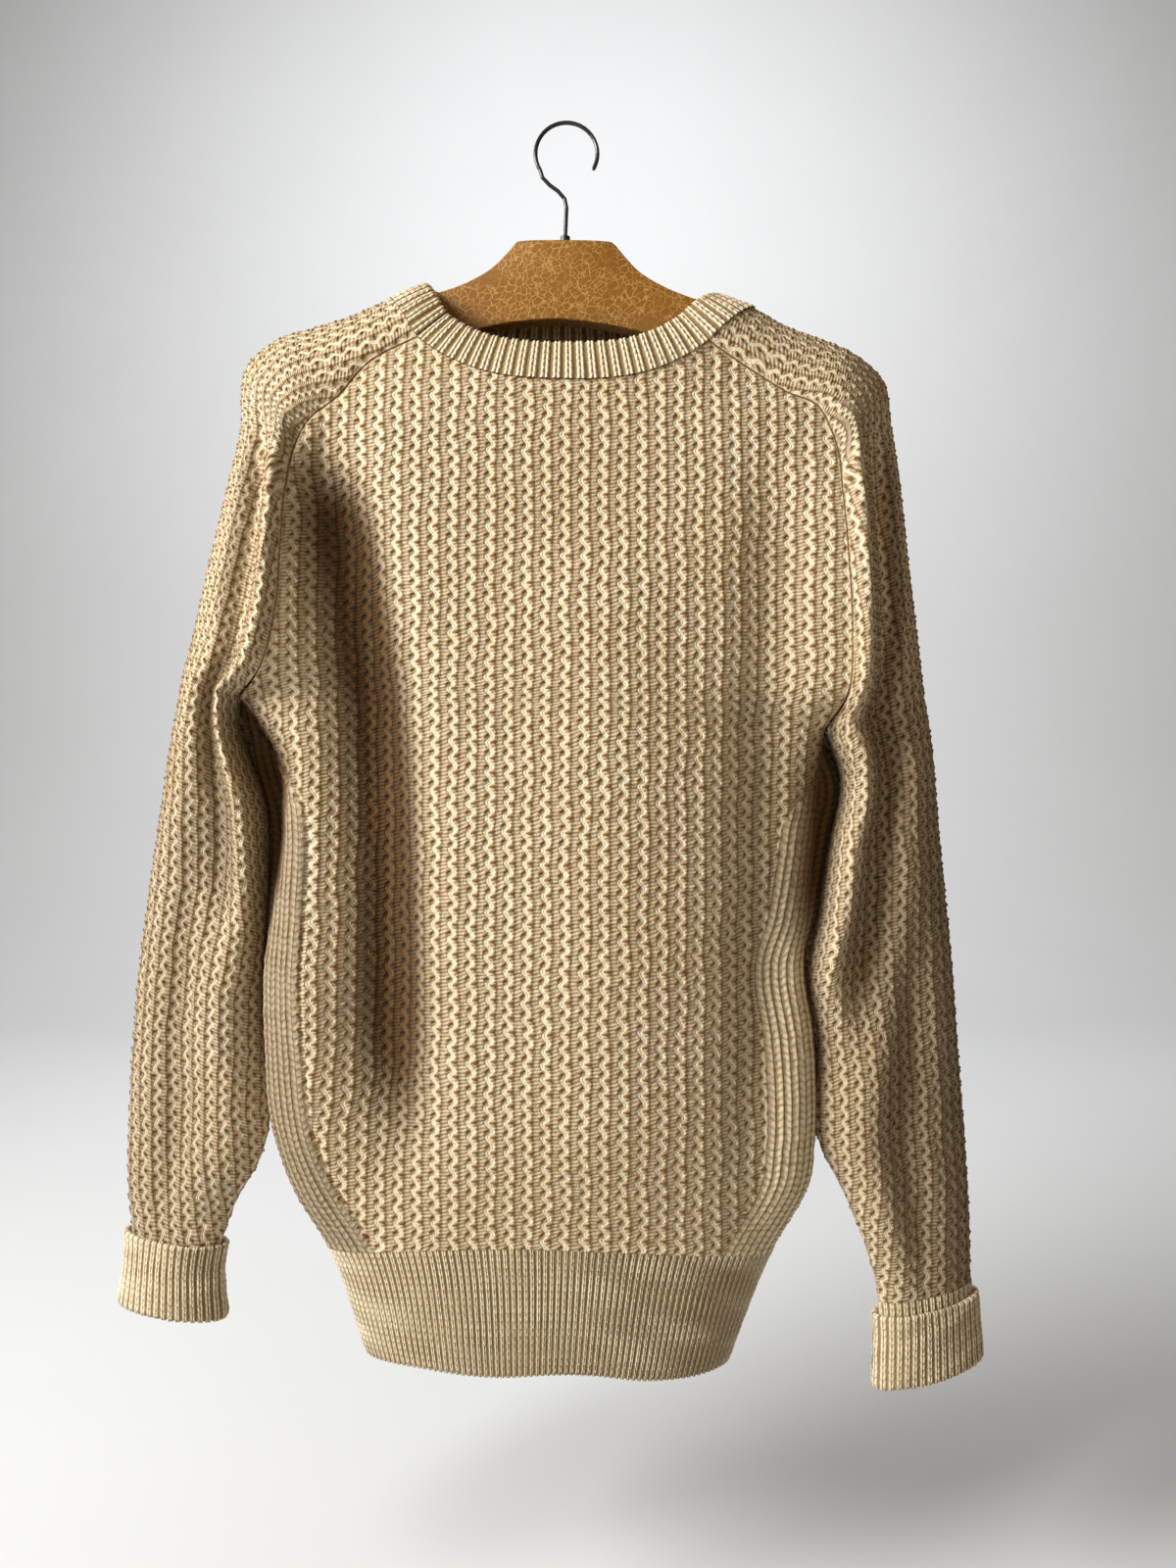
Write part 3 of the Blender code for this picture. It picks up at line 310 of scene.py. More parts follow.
def back_folds(x, z):
    """How far the back's soft folds push the cloth forward."""
    push = np.zeros_like(x)
    for x1, z1, x2, z2, x3, z3, width, depth in zip(*BACK_FOLDS.values()):
        line = track(np.array((z3, z2, z1)), np.array((x3, x2, x1)))(z)
        ends = step(z3 - 0.08, z3 + 0.08, z) * step(z1 + 0.06, z1 - 0.06, z)
        push += depth * ends * hump(x - line, width)
    return push


def recessed(face, at, across, width):
    """Across, counted between the rolls of cloth that stand in front of the side seams."""
    if face == "back":
        return across
    below = np.maximum(at - 1.0, 0.0)
    left = np.maximum(column(BODY, "left_recess", below), 0.0) / width
    right = np.maximum(column(BODY, "right_recess", below), 0.0) / width
    return np.clip((across - left) / (1.0 - left - right), 0.0, 1.0)


def body_point(face, at, across):
    """A point of the front or back panel: at is 0 to 2 and on, across is 0 to 1."""
    at, across = np.broadcast_arrays(np.asarray(at, float), np.asarray(across, float))
    left = body_edge("left", face, at)
    right = body_edge("right", face, at)
    point = mix(left, right, across[..., None])
    tube = step(0.80, 1.0, at)
    power = mix(2.8, 3.6, tube)
    inner = recessed(face, at, across, right[..., 0] - left[..., 0])
    crown = np.maximum(1.0 - np.abs(2.0 * inner - 1.0) ** power, 0.0)
    upper_y = column(CHEST, face + "_y", np.minimum(at, 1.0))
    lower_y = column(BODY, face + "_y", np.maximum(at - 1.0, 0.0))
    middle_y = np.where(at <= 1.0, upper_y, lower_y)
    point[..., 1] = mix(point[..., 1], middle_y, crown ** mix(1.0, 0.5, tube))
    reach = np.clip(1.0 - at / NECK_DIP_REACH, 0.0, 1.0) ** 1.5
    dip = NECK_DIP if face == "front" else BACK_DIP
    point[..., 2] -= dip * reach * crown
    rise = SEAM_LIFT if face == "front" else 0.0
    lift = rise * step(1.55, 2.0, at) * step(2.2, 2.0, at)
    point[..., 2] += lift * 4.0 * across * (1.0 - across)
    fade = step(0.0, BODY_FOLD_FADE, np.minimum(across, 1.0 - across))
    if face == "front":
        point[..., 1] += fade * body_folds(point[..., 0], point[..., 2])
    else:
        point[..., 1] -= fade * back_folds(point[..., 0], point[..., 2])
        level = step(0.955, 1.005, at) * (1.0 - step(1.75, 1.95, at))
        near = np.minimum(across, 1.0 - across)
        swell = (SWELL + SWELL_EXTRA * hump(at - SWELL_AT, SWELL_REACH)) * level
        swell = swell * step(0.0, 0.03, near) * (1.0 - step(0.04, 0.16, near))
        point[..., 0] += np.where(across < 0.5, -swell, swell)
    return point


def sleeve_folds(side, at, across):
    """How far the sleeve's folds push its front back."""
    push = np.zeros_like(across)
    for start, end, first, last, width, depth in zip(*SLEEVE_FOLDS[side].values()):
        line = mix(first, last, np.clip((at - start) / (end - start), 0.0, 1.0))
        ends = step(start - 0.1, start + 0.15, at) * step(end + 0.1, end - 0.15, at)
        push += depth * ends * hump(across - line, width)
    return push * step(0.0, 0.1, across) * step(1.0, 0.85, across)


def sleeve_point(side, face, at, across):
    """A point of a sleeve: across is 0 at the raglan seam or inner edge, 1 at the outer line."""
    at, across = np.broadcast_arrays(np.asarray(at, float), np.asarray(across, float))
    above = np.minimum(at, 1.0)
    below = np.maximum(at - 1.0, 0.0)
    is_upper = (at <= 1.0)[..., None]
    near = np.where(is_upper, place(UPPER[side], face, above), place(LOWER[side], "inner", below))
    far = np.where(is_upper, place(UPPER[side], "top", above), place(LOWER[side], "outer", below))
    name = face + "_bulge"
    bulge = np.where(at <= 1.0, column(UPPER[side], name, above), column(LOWER[side], name, below))
    point = mix(near, far, across[..., None])
    tube = step(0.80, 1.0, at)
    rise = (1.0 - (1.0 - across) ** 2.4) ** mix(1.0, 0.5, tube)
    fall = (1.0 - across ** 2.4) ** 0.5
    if face == "front":
        point[..., 1] += sleeve_folds(side, at, across) - bulge * rise * fall
    else:
        point[..., 1] += bulge * rise * fall
    return point


def sleeve_across(at, share):
    """Places across the sleeve, closer together at its turned edges."""
    at, share = np.broadcast_arrays(np.asarray(at, float), np.asarray(share, float))
    tube = step(0.80, 1.0, at)
    return mix(np.sin(share * math.pi / 2.0), (1.0 - np.cos(share * math.pi)) / 2.0, tube)


def body_across(share):
    """Places across a body panel, closer together towards its two edges."""
    return mix(share, (1.0 - np.cos(share * math.pi)) / 2.0, 0.75)


# Sums that work alike on arrays and on shader nodes
SUMS = {
    "MAXIMUM": np.maximum, "MINIMUM": np.minimum, "SINE": np.sin, "ABSOLUTE": np.abs,
    "EXPONENT": np.exp, "SQRT": np.sqrt, "FRACT": lambda a: a - np.floor(a),
}


class Value:
    """A number in a shader: an output socket that takes part in sums."""

    def __init__(self, socket):
        self.socket = socket

    def __add__(self, other):
        return sums("ADD", self, other)

    def __sub__(self, other):
        return sums("SUBTRACT", self, other)

    def __rsub__(self, other):
        return sums("SUBTRACT", other, self)

    def __mul__(self, other):
        return sums("MULTIPLY", self, other)

    __radd__ = __add__
    __rmul__ = __mul__


def sums(kind, *values):
    """One sum, of arrays or of shader values."""
    shaded = [value for value in values if isinstance(value, Value)]
    if not shaded:
        return SUMS[kind](*values)
    tree = shaded[0].socket.id_data
    node = tree.nodes.new("ShaderNodeMath")
    node.operation = kind
    for i, value in enumerate(values):
        if isinstance(value, Value):
            tree.links.new(value.socket, node.inputs[i])
        else:
            node.inputs[i].default_value = float(value)
    return Value(node.outputs[0])


def fract(a):
    return sums("FRACT", a)


def smooth(low, high, value):
    """Rises smoothly from 0 at low to 1 at high, for arrays and shader values."""
    u = sums("MINIMUM", sums("MAXIMUM", (value - low) * (1.0 / (high - low)), 0.0), 1.0)
    return u * u * (3.0 - 2.0 * u)


def spot(a, b):
    """1 where both distances are 0, falling to nothing at about 2."""
    return sums("EXPONENT", (a * a + b * b) * -1.0)


def zigzag(u, v):
    """Height of the zigzag rib, from 0 to 1: u counts wales, v counts pattern rows."""
    s = fract(u)
    t = fract(v)
    swing = smooth(0.02, 0.62, t) - smooth(0.66, 0.99, t)
    off = s - (swing * 0.27 + 0.50)
    band = sums("SQRT", sums("MAXIMUM", 1.0 - off * off * (1.0 / 0.185**2), 0.0))
    band = band - 0.30 * spot(off * (1.0 / 0.045), 0.0 * off)
    bars = 0.50 + 0.13 * sums("SINE", t * (8.0 * math.pi) + s * 6.0)
    gutter = spot((fract(s + 0.5) - 0.5) * (1.0 / 0.07), 0.0 * s)
    bars = bars - 0.22 * gutter
    near_row = sums("ABSOLUTE", fract(v + 0.5) - 0.5)
    hole = spot((s - 0.45) * (1.0 / 0.110), (t - 0.60 + 0.8 * (s - 0.45)) * (1.0 / 0.13))
    corner = spot((s - 0.88) * (1.0 / 0.15), (near_row - 0.25 * (s - 0.88)) * (1.0 / 0.13))
    return sums("MAXIMUM", band, bars) - 0.62 * hole - 0.55 * corner


def vees(p, q, width):
    """Height of plain stitches, each a V: p counts columns, q counts rows, width is a V's share."""
    s = (fract(p) - 0.5) * (1.0 / width)
    arm = sums("ABSOLUTE", s)
    t = fract(q + arm * 0.9)
    leg = (arm - 0.25) * 4.0
    leg = sums("SQRT", sums("MAXIMUM", 1.0 - leg * leg, 0.0))
    return leg * (0.62 + 0.38 * sums("SINE", t * math.pi))


def knit_height(u, v, e, s, beyond):
    """Height of a panel's knit: plain stitches in the strips at its sides, zigzag beyond them."""
    inside = smooth(-STRIP_BLEND, STRIP_BLEND, beyond)
    plain = vees(e * (1.0 / STRIP_COLUMN), s * (1.0 / STRIP_ROW), STRIP_VEE)
    plain = plain * STRIP_TALL + STRIP_LOW
    return plain + (zigzag(u, v) - plain) * inside


def add_mesh(name, points, faces, material, node, uvs):
    """A mesh object with named UV maps, which replaces a CAD node."""
    mesh = bpy.data.meshes.new(name)
    mesh.from_pydata(points.tolist(), [], faces)
    mesh.shade_smooth()
    corners = np.empty(len(mesh.loops), np.int32)
    mesh.loops.foreach_get("vertex_index", corners)
    for title, values in uvs.items():
        layer = mesh.uv_layers.new(name=title)
        layer.uv.foreach_set("vector", values[corners].astype(np.float32).ravel())
    thing = bpy.data.objects.new(name, mesh)
    mesh.materials.append(material)
    bpy.context.scene.collection.objects.link(thing)
    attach(thing, "root")
    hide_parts(node)
    return thing


def sheet_grid(section, rows, centre, along, wale, per_wale, depth_share):
    """A panel's grid with its columns along the wales.

    section(at) gives a row's fine points; centre is the number of the one where wales count
    from, or the x of the line where they do; along gives the way of the wales at each row.
    Returns points, normals, numbers for the corners of cells, and the knit's coordinates
    u, v, e (distance to the side edge) and s (length along that edge), and the section,
    each for every point used. Steps in y count for depth_share of a wale's width.
    """
    fine = section(rows)
    way = along(rows)
    down = np.gradient(fine, axis=0)
    over = np.gradient(fine, axis=1)
    normal = np.cross(over, down)
    normal /= np.maximum(np.linalg.norm(normal, axis=2), 1e-12)[..., None]
    seg = np.diff(fine, axis=1)
    forward = np.einsum("ijk,ik->ij", seg, way)
    aside = seg - forward[..., None] * way[:, None, :]
    aside[..., 1] *= depth_share
    aside = np.linalg.norm(aside, axis=2)
    zero = np.zeros((len(rows), 1))
    u_fine = np.concatenate((zero, np.cumsum(aside, axis=1)), axis=1)
    v_fine = np.concatenate((zero, np.cumsum(forward, axis=1)), axis=1)
    if isinstance(centre, float):
        for i in range(len(rows)):
            u_fine[i] -= np.interp(centre, fine[i, :, 0], u_fine[i])
        centre = fine.shape[1] // 2
    else:
        u_fine -= u_fine[:, centre:centre + 1]
    v_fine -= v_fine[:, centre:centre + 1]
    middle = fine[:, centre]
    steps = np.linalg.norm(np.diff(middle, axis=0), axis=1)
    v_fine += np.concatenate(([0.0], np.cumsum(steps)))[:, None]
    edge_steps = [np.linalg.norm(np.diff(fine[:, k], axis=0), axis=1) for k in (0, -1)]
    edge_s = [np.concatenate(([0.0], np.cumsum(steps))) for steps in edge_steps]
    spacing = wale / per_wale
    low = math.floor(u_fine[:, 0].min() / spacing)
    high = math.ceil(u_fine[:, -1].max() / spacing)
    ks = np.arange(low, high + 1)
    numbers = np.empty((len(rows), len(ks)), int)
    parts = []
    count = 0
    for i in range(len(rows)):
        u_row = u_fine[i]
        target = np.clip(ks * spacing, u_row[0], u_row[-1])
        first = np.searchsorted(ks * spacing, u_row[0], side="right") - 1
        last = np.searchsorted(ks * spacing, u_row[-1], side="left")
        target = target[first:last + 1]
        numbers[i] = count + np.clip(np.arange(len(ks)), first, last) - first
        count += len(target)
        columns = [np.interp(target, u_row, fine[i, :, c]) for c in range(3)]
        columns += [np.interp(target, u_row, normal[i, :, c]) for c in range(3)]
        columns += [target / wale, np.interp(target, u_row, v_fine[i])]
        from_left, from_right = target - u_row[0], u_row[-1] - target
        left_nearer = from_left < from_right
        columns += [np.where(left_nearer, from_left, from_right),
                    np.where(left_nearer, edge_s[0][i], edge_s[1][i]),
                    np.full(len(target), rows[i]),
                    np.interp(target, u_row, np.linspace(0.0, 1.0, fine.shape[1]))]
        parts.append(np.stack(columns, axis=-1))
    data = np.concatenate(parts)
    return data[:, :3], data[:, 3:6], numbers, data[:, 6:]


def grid_faces(numbers):
    """Faces between rows of point numbers, with repeated corners left out."""
    a, b = numbers[:-1, :-1].ravel(), numbers[:-1, 1:].ravel()
    c, d = numbers[1:, 1:].ravel(), numbers[1:, :-1].ravel()
    faces = []
    for corners in zip(a.tolist(), b.tolist(), c.tolist(), d.tolist()):
        kept = tuple(dict.fromkeys(corners))
        if len(kept) > 2:
            faces.append(kept)
    return faces


def even_rows(line, start, end, spacing):
    """Values of at, evenly spaced along the line that it draws."""
    at = np.linspace(start, end, 600)
    points = line(at)
    length = np.concatenate(([0.0], np.cumsum(np.linalg.norm(np.diff(points, axis=0), axis=1))))
    count = max(2, round(length[-1] / spacing))
    return np.interp(np.linspace(0.0, length[-1], count + 1), length, at)


def uneven(u, v, seed):
    """A slow, irregular wave between about -1 and 1 that keeps the knit from looking ruled."""
    rng = np.random.default_rng(seed)
    total = np.zeros_like(u)
    for size in (0.11, 0.17, 0.23, 0.31):
        a, b, c = rng.uniform(-1.0, 1.0, 3)
        total += np.sin(2.0 * math.pi * (size * (u * a + v * b * 1.4) + c))
    return total / 2.0


def knit_panel(name, section, line, way, ends, centre, size, fades, painted_shade, material, strip_at,
               flip):
    """One knitted panel as a sheet: its grid, its raised stitches and its maps."""
    wale, period, per_wale, per_period, seed, depth_share = size
    rows = even_rows(line, ends[0], ends[1], period / per_period)
    points, normals, numbers, maps = sheet_grid(section, rows, centre, way, wale, per_wale,
                                                depth_share)
    u, v, e, s, at, share = maps.T
    u = u + 0.07 * uneven(u, v / period, seed)
    v = v / period + 0.10 * uneven(v / period, u, seed + 1)
    strip = np.full_like(at, STRIP_RAGLAN)
    if strip_at:
        side = np.where(share < 0.5, *STRIP_SIDES)
        strip = mix(strip, side, step(1.03, 1.20, at))
    # The shade map: for each point, how far its colour is darkened as painted shade in folds, recesses
    # and under the arms.
    shade = painted_shade(points, at, e, share)
    beside = e - strip
    height = knit_height(u, v, e, s, beside)
    height = height * (1.0 + 0.12 * uneven(v, u * 2.0, seed + 2))
    wander = 3.0 * uneven(s * 200.0, u, seed + 3)
    curls = 0.5 + 0.5 * np.sin(s * (2.0 * math.pi / LOOP_PITCH) + wander)
    ridge = hump(beside - 0.5 * SEAM_RIDGE, 0.42 * SEAM_RIDGE) * (0.45 + 0.75 * curls)
    groove = hump(beside + 0.35 * SEAM_RIDGE, 0.30 * SEAM_RIDGE)
    strength = np.where(share < 0.5, 1.0, 0.35) * (strip > 2.0 * STRIP_RAGLAN)
    height = height + (1.5 * ridge - 0.8 * groove) * strength
    shift = mix(SEAM_LEVEL, height * STRAND_HEIGHT - KNIT_SINK, step(0.0, 0.0012, e))
    for first, last in fades:
        shift = shift * step(first, last, at)
    if flip:
        numbers = numbers[:, ::-1]
        normals = -normals
    points = points + normals * shift[:, None]
    uvs = {"knit": np.stack((u, v), axis=-1), "seam": np.stack((beside, s), axis=-1),
           "strip": np.stack((e, s), axis=-1), "painted_shade": np.stack((shade, shade), axis=-1)}
    return add_mesh(name + "_knit", points, grid_faces(numbers), material, name, uvs)


def make_body_panel(face, material):
    share = np.linspace(0.0, 1.0, 321)
    across = body_across(share)

    def section(rows):
        return body_point(face, rows[:, None], across[None, :])

    def line(at):
        return body_point(face, at, 0.52)

    def way(rows):
        return np.tile((0.0, 0.0, -1.0), (len(rows), 1))

    def painted_shade(points, at, e, share):
        if face == "back":
            # Painted shade on the back: darker near its edges just below the arms, where they show
            # through the gaps there, and lightly in its folds.
            below_arm = step(0.97, 1.02, at) * (1.0 - step(1.3, 1.6, at))
            inside = (1.0 - step(0.0, 0.035, e)) * below_arm
            folds = back_folds(points[:, 0], points[:, 2])
            return np.maximum(0.15 * step(0.001, 0.007, folds), inside)
        # Painted shade on the front: darker in the main fold hollows, over the rolled strip down the left
        # side and in the recesses under the arms.
        deep = step(0.003, 0.022, body_folds(points[:, 0] - 0.004, points[:, 2]))
        roll = 0.60 * (1.0 - step(-0.004, 0.006, e - STRIP_SIDES[0])) * step(1.05, 1.25, at)
        deep = np.maximum(deep, roll * (share < 0.5))
        under = step(-0.045, -0.020, points[:, 1]) * step(0.98, 1.02, at)
        under = under * (1.0 - step(1.30, 1.55, at))
        return np.maximum(deep, under)

    fine = (9, 6) if face == "front" else (7, 5)
    size = (BODY_WALE, BODY_PERIOD, *fine, 11 if face == "front" else 31, 0.7)
    fades = ((0.0, 0.012), (2.0, 1.985))
    return knit_panel(face, section, line, way, (0.0, 2.0), 0.004, size, fades, painted_shade, material,
                      True, face == "back")


def make_sleeve(side, material):
    share = np.linspace(0.0, 1.0, 161)

    def section(rows):
        across = sleeve_across(rows[:, None], share[None, :])
        front = sleeve_point(side, "front", rows[:, None], across)
        back = sleeve_point(side, "back", rows[:, None], across)
        return np.concatenate((front, back[:, -2::-1]), axis=1)

    def line(at):
        return sleeve_point(side, "front", at, 1.0)

    def way(rows):
        ahead = line(np.minimum(rows + 0.02, 2.0)) - line(np.maximum(rows - 0.02, 0.0))
        return ahead / np.linalg.norm(ahead, axis=1)[:, None]

    def painted_shade(points, at, e, share):
        # Painted shade on the sleeve: darker in its fold hollows, near its inner edge below the arm, and
        # over the outer part of its lower half, heavier on the right sleeve.
        across = 2.0 * np.minimum(share, 1.0 - share)
        deep = 0.6 * step(0.002, 0.014, sleeve_folds(side, at, across)) * (share < 0.5)
        below_arm = step(0.98, 1.05, at) * (1.0 - step(1.5, 1.8, at))
        inner = 0.7 * (1.0 - step(0.0, 0.030, e)) * below_arm
        wear_and_painted_shade = {"left": 0.30, "right": 0.60}[side] * step(0.15, 0.55, across) * step(0.7, 1.3, at)
        return np.maximum(np.maximum(deep, inner), wear_and_painted_shade)

    size = (SLEEVE_WALE, SLEEVE_PERIOD, 7, 6, 51 if side == "left" else 71, 1.0)
    fades = ((0.0, 0.02), (2.0, 1.97))
    return knit_panel("sleeve_" + side, section, line, way, (0.0, 2.0), 160, size, fades, painted_shade,
                      material, False, side == "left")


def even_ring(points, count):
    """The closed line through the points, cut into equal lengths."""
    loop = np.vstack((points, points[:1]))
    lengths = np.concatenate(([0.0], np.cumsum(np.linalg.norm(np.diff(loop, axis=0), axis=1))))
    places = np.linspace(0.0, lengths[-1], count, endpoint=False)
    return np.stack([np.interp(places, lengths, loop[:, i]) for i in range(3)], axis=-1)


def ring_normals(ring, along):
    """Directions out of a tube at one of its rings, square to the ring and to the way along."""
    tangent = np.roll(ring, -1, axis=0) - np.roll(ring, 1, axis=0)
    normal = np.cross(tangent, along)
    return normal / np.linalg.norm(normal, axis=1)[:, None]


def neckline(samples):
    """The closed neckline, clockwise seen from above: front, right shoulder, back, left."""
    share = np.linspace(0.0, 1.0, samples + 1)
    front = body_point("front", 0.0, body_across(share))
    back = body_point("back", 0.0, body_across(share))
    parts = [front[:-1]]
    for side in ("right", "left"):
        near = sleeve_point(side, "front", 0.0, sleeve_across(0.0, share))
        far = sleeve_point(side, "back", 0.0, sleeve_across(0.0, share))
        over = np.concatenate((near, far[-2::-1]))
        if side == "right":
            parts.append(over[:-1])
            parts.append(back[::-1][:-1])
        else:
            parts.append(over[::-1][:-1])
    return np.concatenate(parts)


def body_ring(at, samples=120):
    """The whole body's outline at one section, front then back."""
    share = np.linspace(0.0, 1.0, samples + 1)
    front = body_point("front", at, body_across(share))
    back = body_point("back", at, body_across(share))
    return np.concatenate((front[:-1], back[::-1][:-1]))


def sleeve_ring(side, at, samples=60):
    """A whole sleeve's outline at one section of its lower part."""
    share = np.linspace(0.0, 1.0, samples + 1)
    front = sleeve_point(side, "front", at, sleeve_across(at, share))
    back = sleeve_point(side, "back", at, sleeve_across(at, share))
    ring = np.concatenate((front[:-1], back[::-1][:-1]))
    return ring if side == "right" else ring[::-1]


def rib_tube(name, levels, ribs, per_rib, material):
    """A ribbed band as a closed strip: levels are rings with a normal for each point."""
    points = np.stack([ring for ring, normals in levels])
    normals = np.stack([normals for ring, normals in levels])
    count = points.shape[1]
    steps = np.linalg.norm(np.diff(points, axis=0), axis=2).mean(axis=1)
    q = np.concatenate(([0.0], np.cumsum(steps)))[:, None] / RIB_ROW
    p = np.arange(count + 1)[None, :] / per_rib
    p, q = np.broadcast_arrays(p, q)
    points = np.concatenate((points, points[:, :1]), axis=1)
    normals = np.concatenate((normals, normals[:, :1]), axis=1)
    height = vees(p + 0.04 * uneven(q, p * 0.3, ribs), q, RIB_VEE)
    height = height * (1.0 + 0.15 * uneven(p, q, ribs + 1))
    points = points + normals * ((height - 0.55) * RIB_STAND)[..., None]
    numbers = np.arange(points.shape[0] * (count + 1)).reshape(points.shape[0], count + 1)
    numbers[:, -1] = numbers[:, 0]
    flat = points.reshape(-1, 3)
    uv = np.stack((p, q), axis=-1).reshape(-1, 2)
    return add_mesh(name + "_knit", flat, grid_faces(numbers), material, name,
                    {"knit": uv})


def turned(ring, normals, start, end, reach, way, steps=5):
    """Rings round a doubled edge, from one offset to another, reaching out along way."""
    result = []
    for i in range(1, steps):
        angle = math.pi * i / steps
        offset = (start + end) / 2.0 + (start - end) / 2.0 * math.cos(angle)
        out = np.sign(start - end) * math.cos(angle) * normals + math.sin(angle) * way
        result.append((ring + normals * offset + way * reach * math.sin(angle), out))
    return result


def run(ring_at, start, end, count, offset, facing=1.0):
    """Rings from one section to another at one offset from the surface."""
    result = []
    for at in np.linspace(start, end, count):
        ring, normals = ring_at(at)
        result.append((ring + normals * offset, normals * facing))
    return result


def make_neckband(material):
    base = even_ring(neckline(160), BAND_RIBS * 8)
    inward = np.array((0.0, BAND_CENTRE_Y, 0.0)) - base
    inward[:, 2] = 0.0
    inward /= np.linalg.norm(inward, axis=1)[:, None]
    share = np.clip(np.abs(base[:, 0] - BAND_CENTRE_X) / BAND_HALF_WIDTH, 0.0, 1.0)
    lean = mix(BAND_LEAN_FRONT, BAND_LEAN_SIDE, share ** BAND_LEAN_POWER)
    lean = np.radians(lean)[:, None]
    rise = inward * np.sin(lean) + np.array((0.0, 0.0, 1.0)) * np.cos(lean)
    normals = ring_normals(base, rise)

    def ring_at(height):
        bulge = 0.0006 * math.sin(math.pi * min(height / BAND_HEIGHT, 1.0))
        return base + rise * height + normals * bulge, normals

    top = BAND_HEIGHT - 0.0016
    levels = run(ring_at, 0.0, top, 15, BAND_OUT)
    levels += turned(*ring_at(top), BAND_OUT, -BAND_IN, 0.0016, rise)
    levels += run(ring_at, top, 0.0, 10, -BAND_IN, -1.0)
    return rib_tube("neckband", levels, BAND_RIBS, 8, material)


def make_hem(material):
    down = np.array((0.0, 0.0, -1.0))
    end = 1.0 + HEM_EDGE

    def ring_at(at):
        ring = even_ring(body_ring(at, 200), HEM_RIBS * 6)
        wave = HEM_WAVE * np.sin(ring[:, 0] * HEM_WAVES + HEM_WAVE_START) * step(2.05, end, at)
        ring = ring + np.outer(wave, -down)
        return ring, ring_normals(ring, -down)

    levels = run(ring_at, 2.0, end - 0.004, 38, 0.0)
    levels += turned(*ring_at(end - 0.004), 0.0, -WALL, 0.0014, down)
    levels += run(ring_at, end - 0.004, 2.0, 12, -WALL, -1.0)
    return rib_tube("hem_rib", levels, HEM_RIBS, 6, material)


def make_cuff(side, material):
    down = np.array((0.0, 0.0, -1.0))

    def ring_at(at):
        ring = even_ring(sleeve_ring(side, at, 120), CUFF_RIBS * 8)
        return ring, ring_normals(ring, -down)

    seam, top, low = 2.0, 1.0 + CUFF_TOP[side], 1.0 + CUFF_FOLD - 0.007
    outside = CUFF_GAP + WALL
    levels = run(ring_at, seam, low - 0.01, 10, 0.0)
    levels += run(ring_at, low - 0.01, top, 8, CUFF_GAP, -1.0)
    levels += turned(*ring_at(top), CUFF_GAP, outside, 0.0012, -down)
    levels += run(ring_at, top, low, 27, outside)
    levels += turned(*ring_at(low), outside, -WALL, 0.0030, down, 8)
    levels += run(ring_at, low, seam, 12, -WALL, -1.0)
    return rib_tube("cuff_" + side, levels, CUFF_RIBS, 8, material)


def seat_line(side):
    """The hanger's arm just below the cloth of the shoulder, from the neck outwards."""
    at = np.array(SEAT_ROWS) / UPPER_ROWS
    line = place(UPPER[side], "top", at)[:, (0, 2)]
    ahead = place(UPPER[side], "top", at + 0.01)[:, (0, 2)] - line
    ahead /= np.linalg.norm(ahead, axis=1)[:, None]
    below = np.stack((ahead[:, 1], -ahead[:, 0]), axis=-1)
    below *= -np.sign(below[:, 1])[:, None]
    return line + below * (WALL + SEAT_GAP)


def hanger_outline():
    """The hanger's outline seen from the front, going round, with its corners eased."""
    halves = {}
    for side in ("left", "right"):
        top = np.stack((HANGER_TOP[side + "_x"], HANGER_TOP[side + "_z"]), axis=-1)
        under = np.stack((HANGER_UNDER[side + "_x"], HANGER_UNDER[side + "_z"]), axis=-1)
        halves[side] = np.vstack((top, seat_line(side), TIP[side], under[::-1]))
    corners = np.vstack((halves["right"], halves["left"][::-1]))
    for _ in range(3):
        following = np.roll(corners, -1, axis=0)
        near, far = mix(corners, following, 0.25), mix(corners, following, 0.75)
        corners = np.stack((near, far), axis=1).reshape(-1, 2)
    return corners


def make_hanger(material):
    """A flat hanger cut from board, with rounded edges, covered all over."""
    outline = hanger_outline()
    ahead = np.roll(outline, -1, axis=0) - np.roll(outline, 1, axis=0)
    ahead /= np.linalg.norm(ahead, axis=1)[:, None]
    inward = np.stack((ahead[:, 1], -ahead[:, 0]), axis=-1)
    half = HANGER_THICKNESS / 2.0
    rings = []
    for turn in np.radians(np.linspace(-90.0, 90.0, 13)):
        inset = 0.35 * HANGER_EDGE * (1.0 - math.cos(turn))
        y = math.sin(turn) * HANGER_EDGE + math.copysign(half - HANGER_EDGE, turn)
        flat = outline + inward * inset
        rings.append(np.stack((flat[:, 0], np.full(len(flat), y), flat[:, 1]), axis=-1))
    count = len(outline)
    numbers = np.arange(count * len(rings)).reshape(len(rings), count)
    numbers = np.concatenate((numbers, numbers[:, :1]), axis=1)
    faces = grid_faces(numbers[:, ::-1])
    last = count * len(rings)
    faces += [tuple(range(count)), tuple(range(last - 1, last - count - 1, -1))]
    points = np.concatenate(rings)
    return add_mesh("hanger_cover", points, faces, material, "hanger_body", {})


def new_material(name):
    material = bpy.data.materials.new(name)
    material.use_nodes = True
    tree = material.node_tree
    return material, tree, tree.nodes["Principled BSDF"]


def node(tree, kind, **settings):
    made = tree.nodes.new("ShaderNode" + kind)
    for name, value in settings.items():
        if name in made.inputs:
            made.inputs[name].default_value = value
        else:
            setattr(made, name, value)
    return made


def uv_of(tree, name):
    """The two numbers of a UV map."""
    source = node(tree, "UVMap", uv_map=name)
    parts = node(tree, "SeparateXYZ")
    tree.links.new(source.outputs[0], parts.inputs[0])
    return Value(parts.outputs[0]), Value(parts.outputs[1])


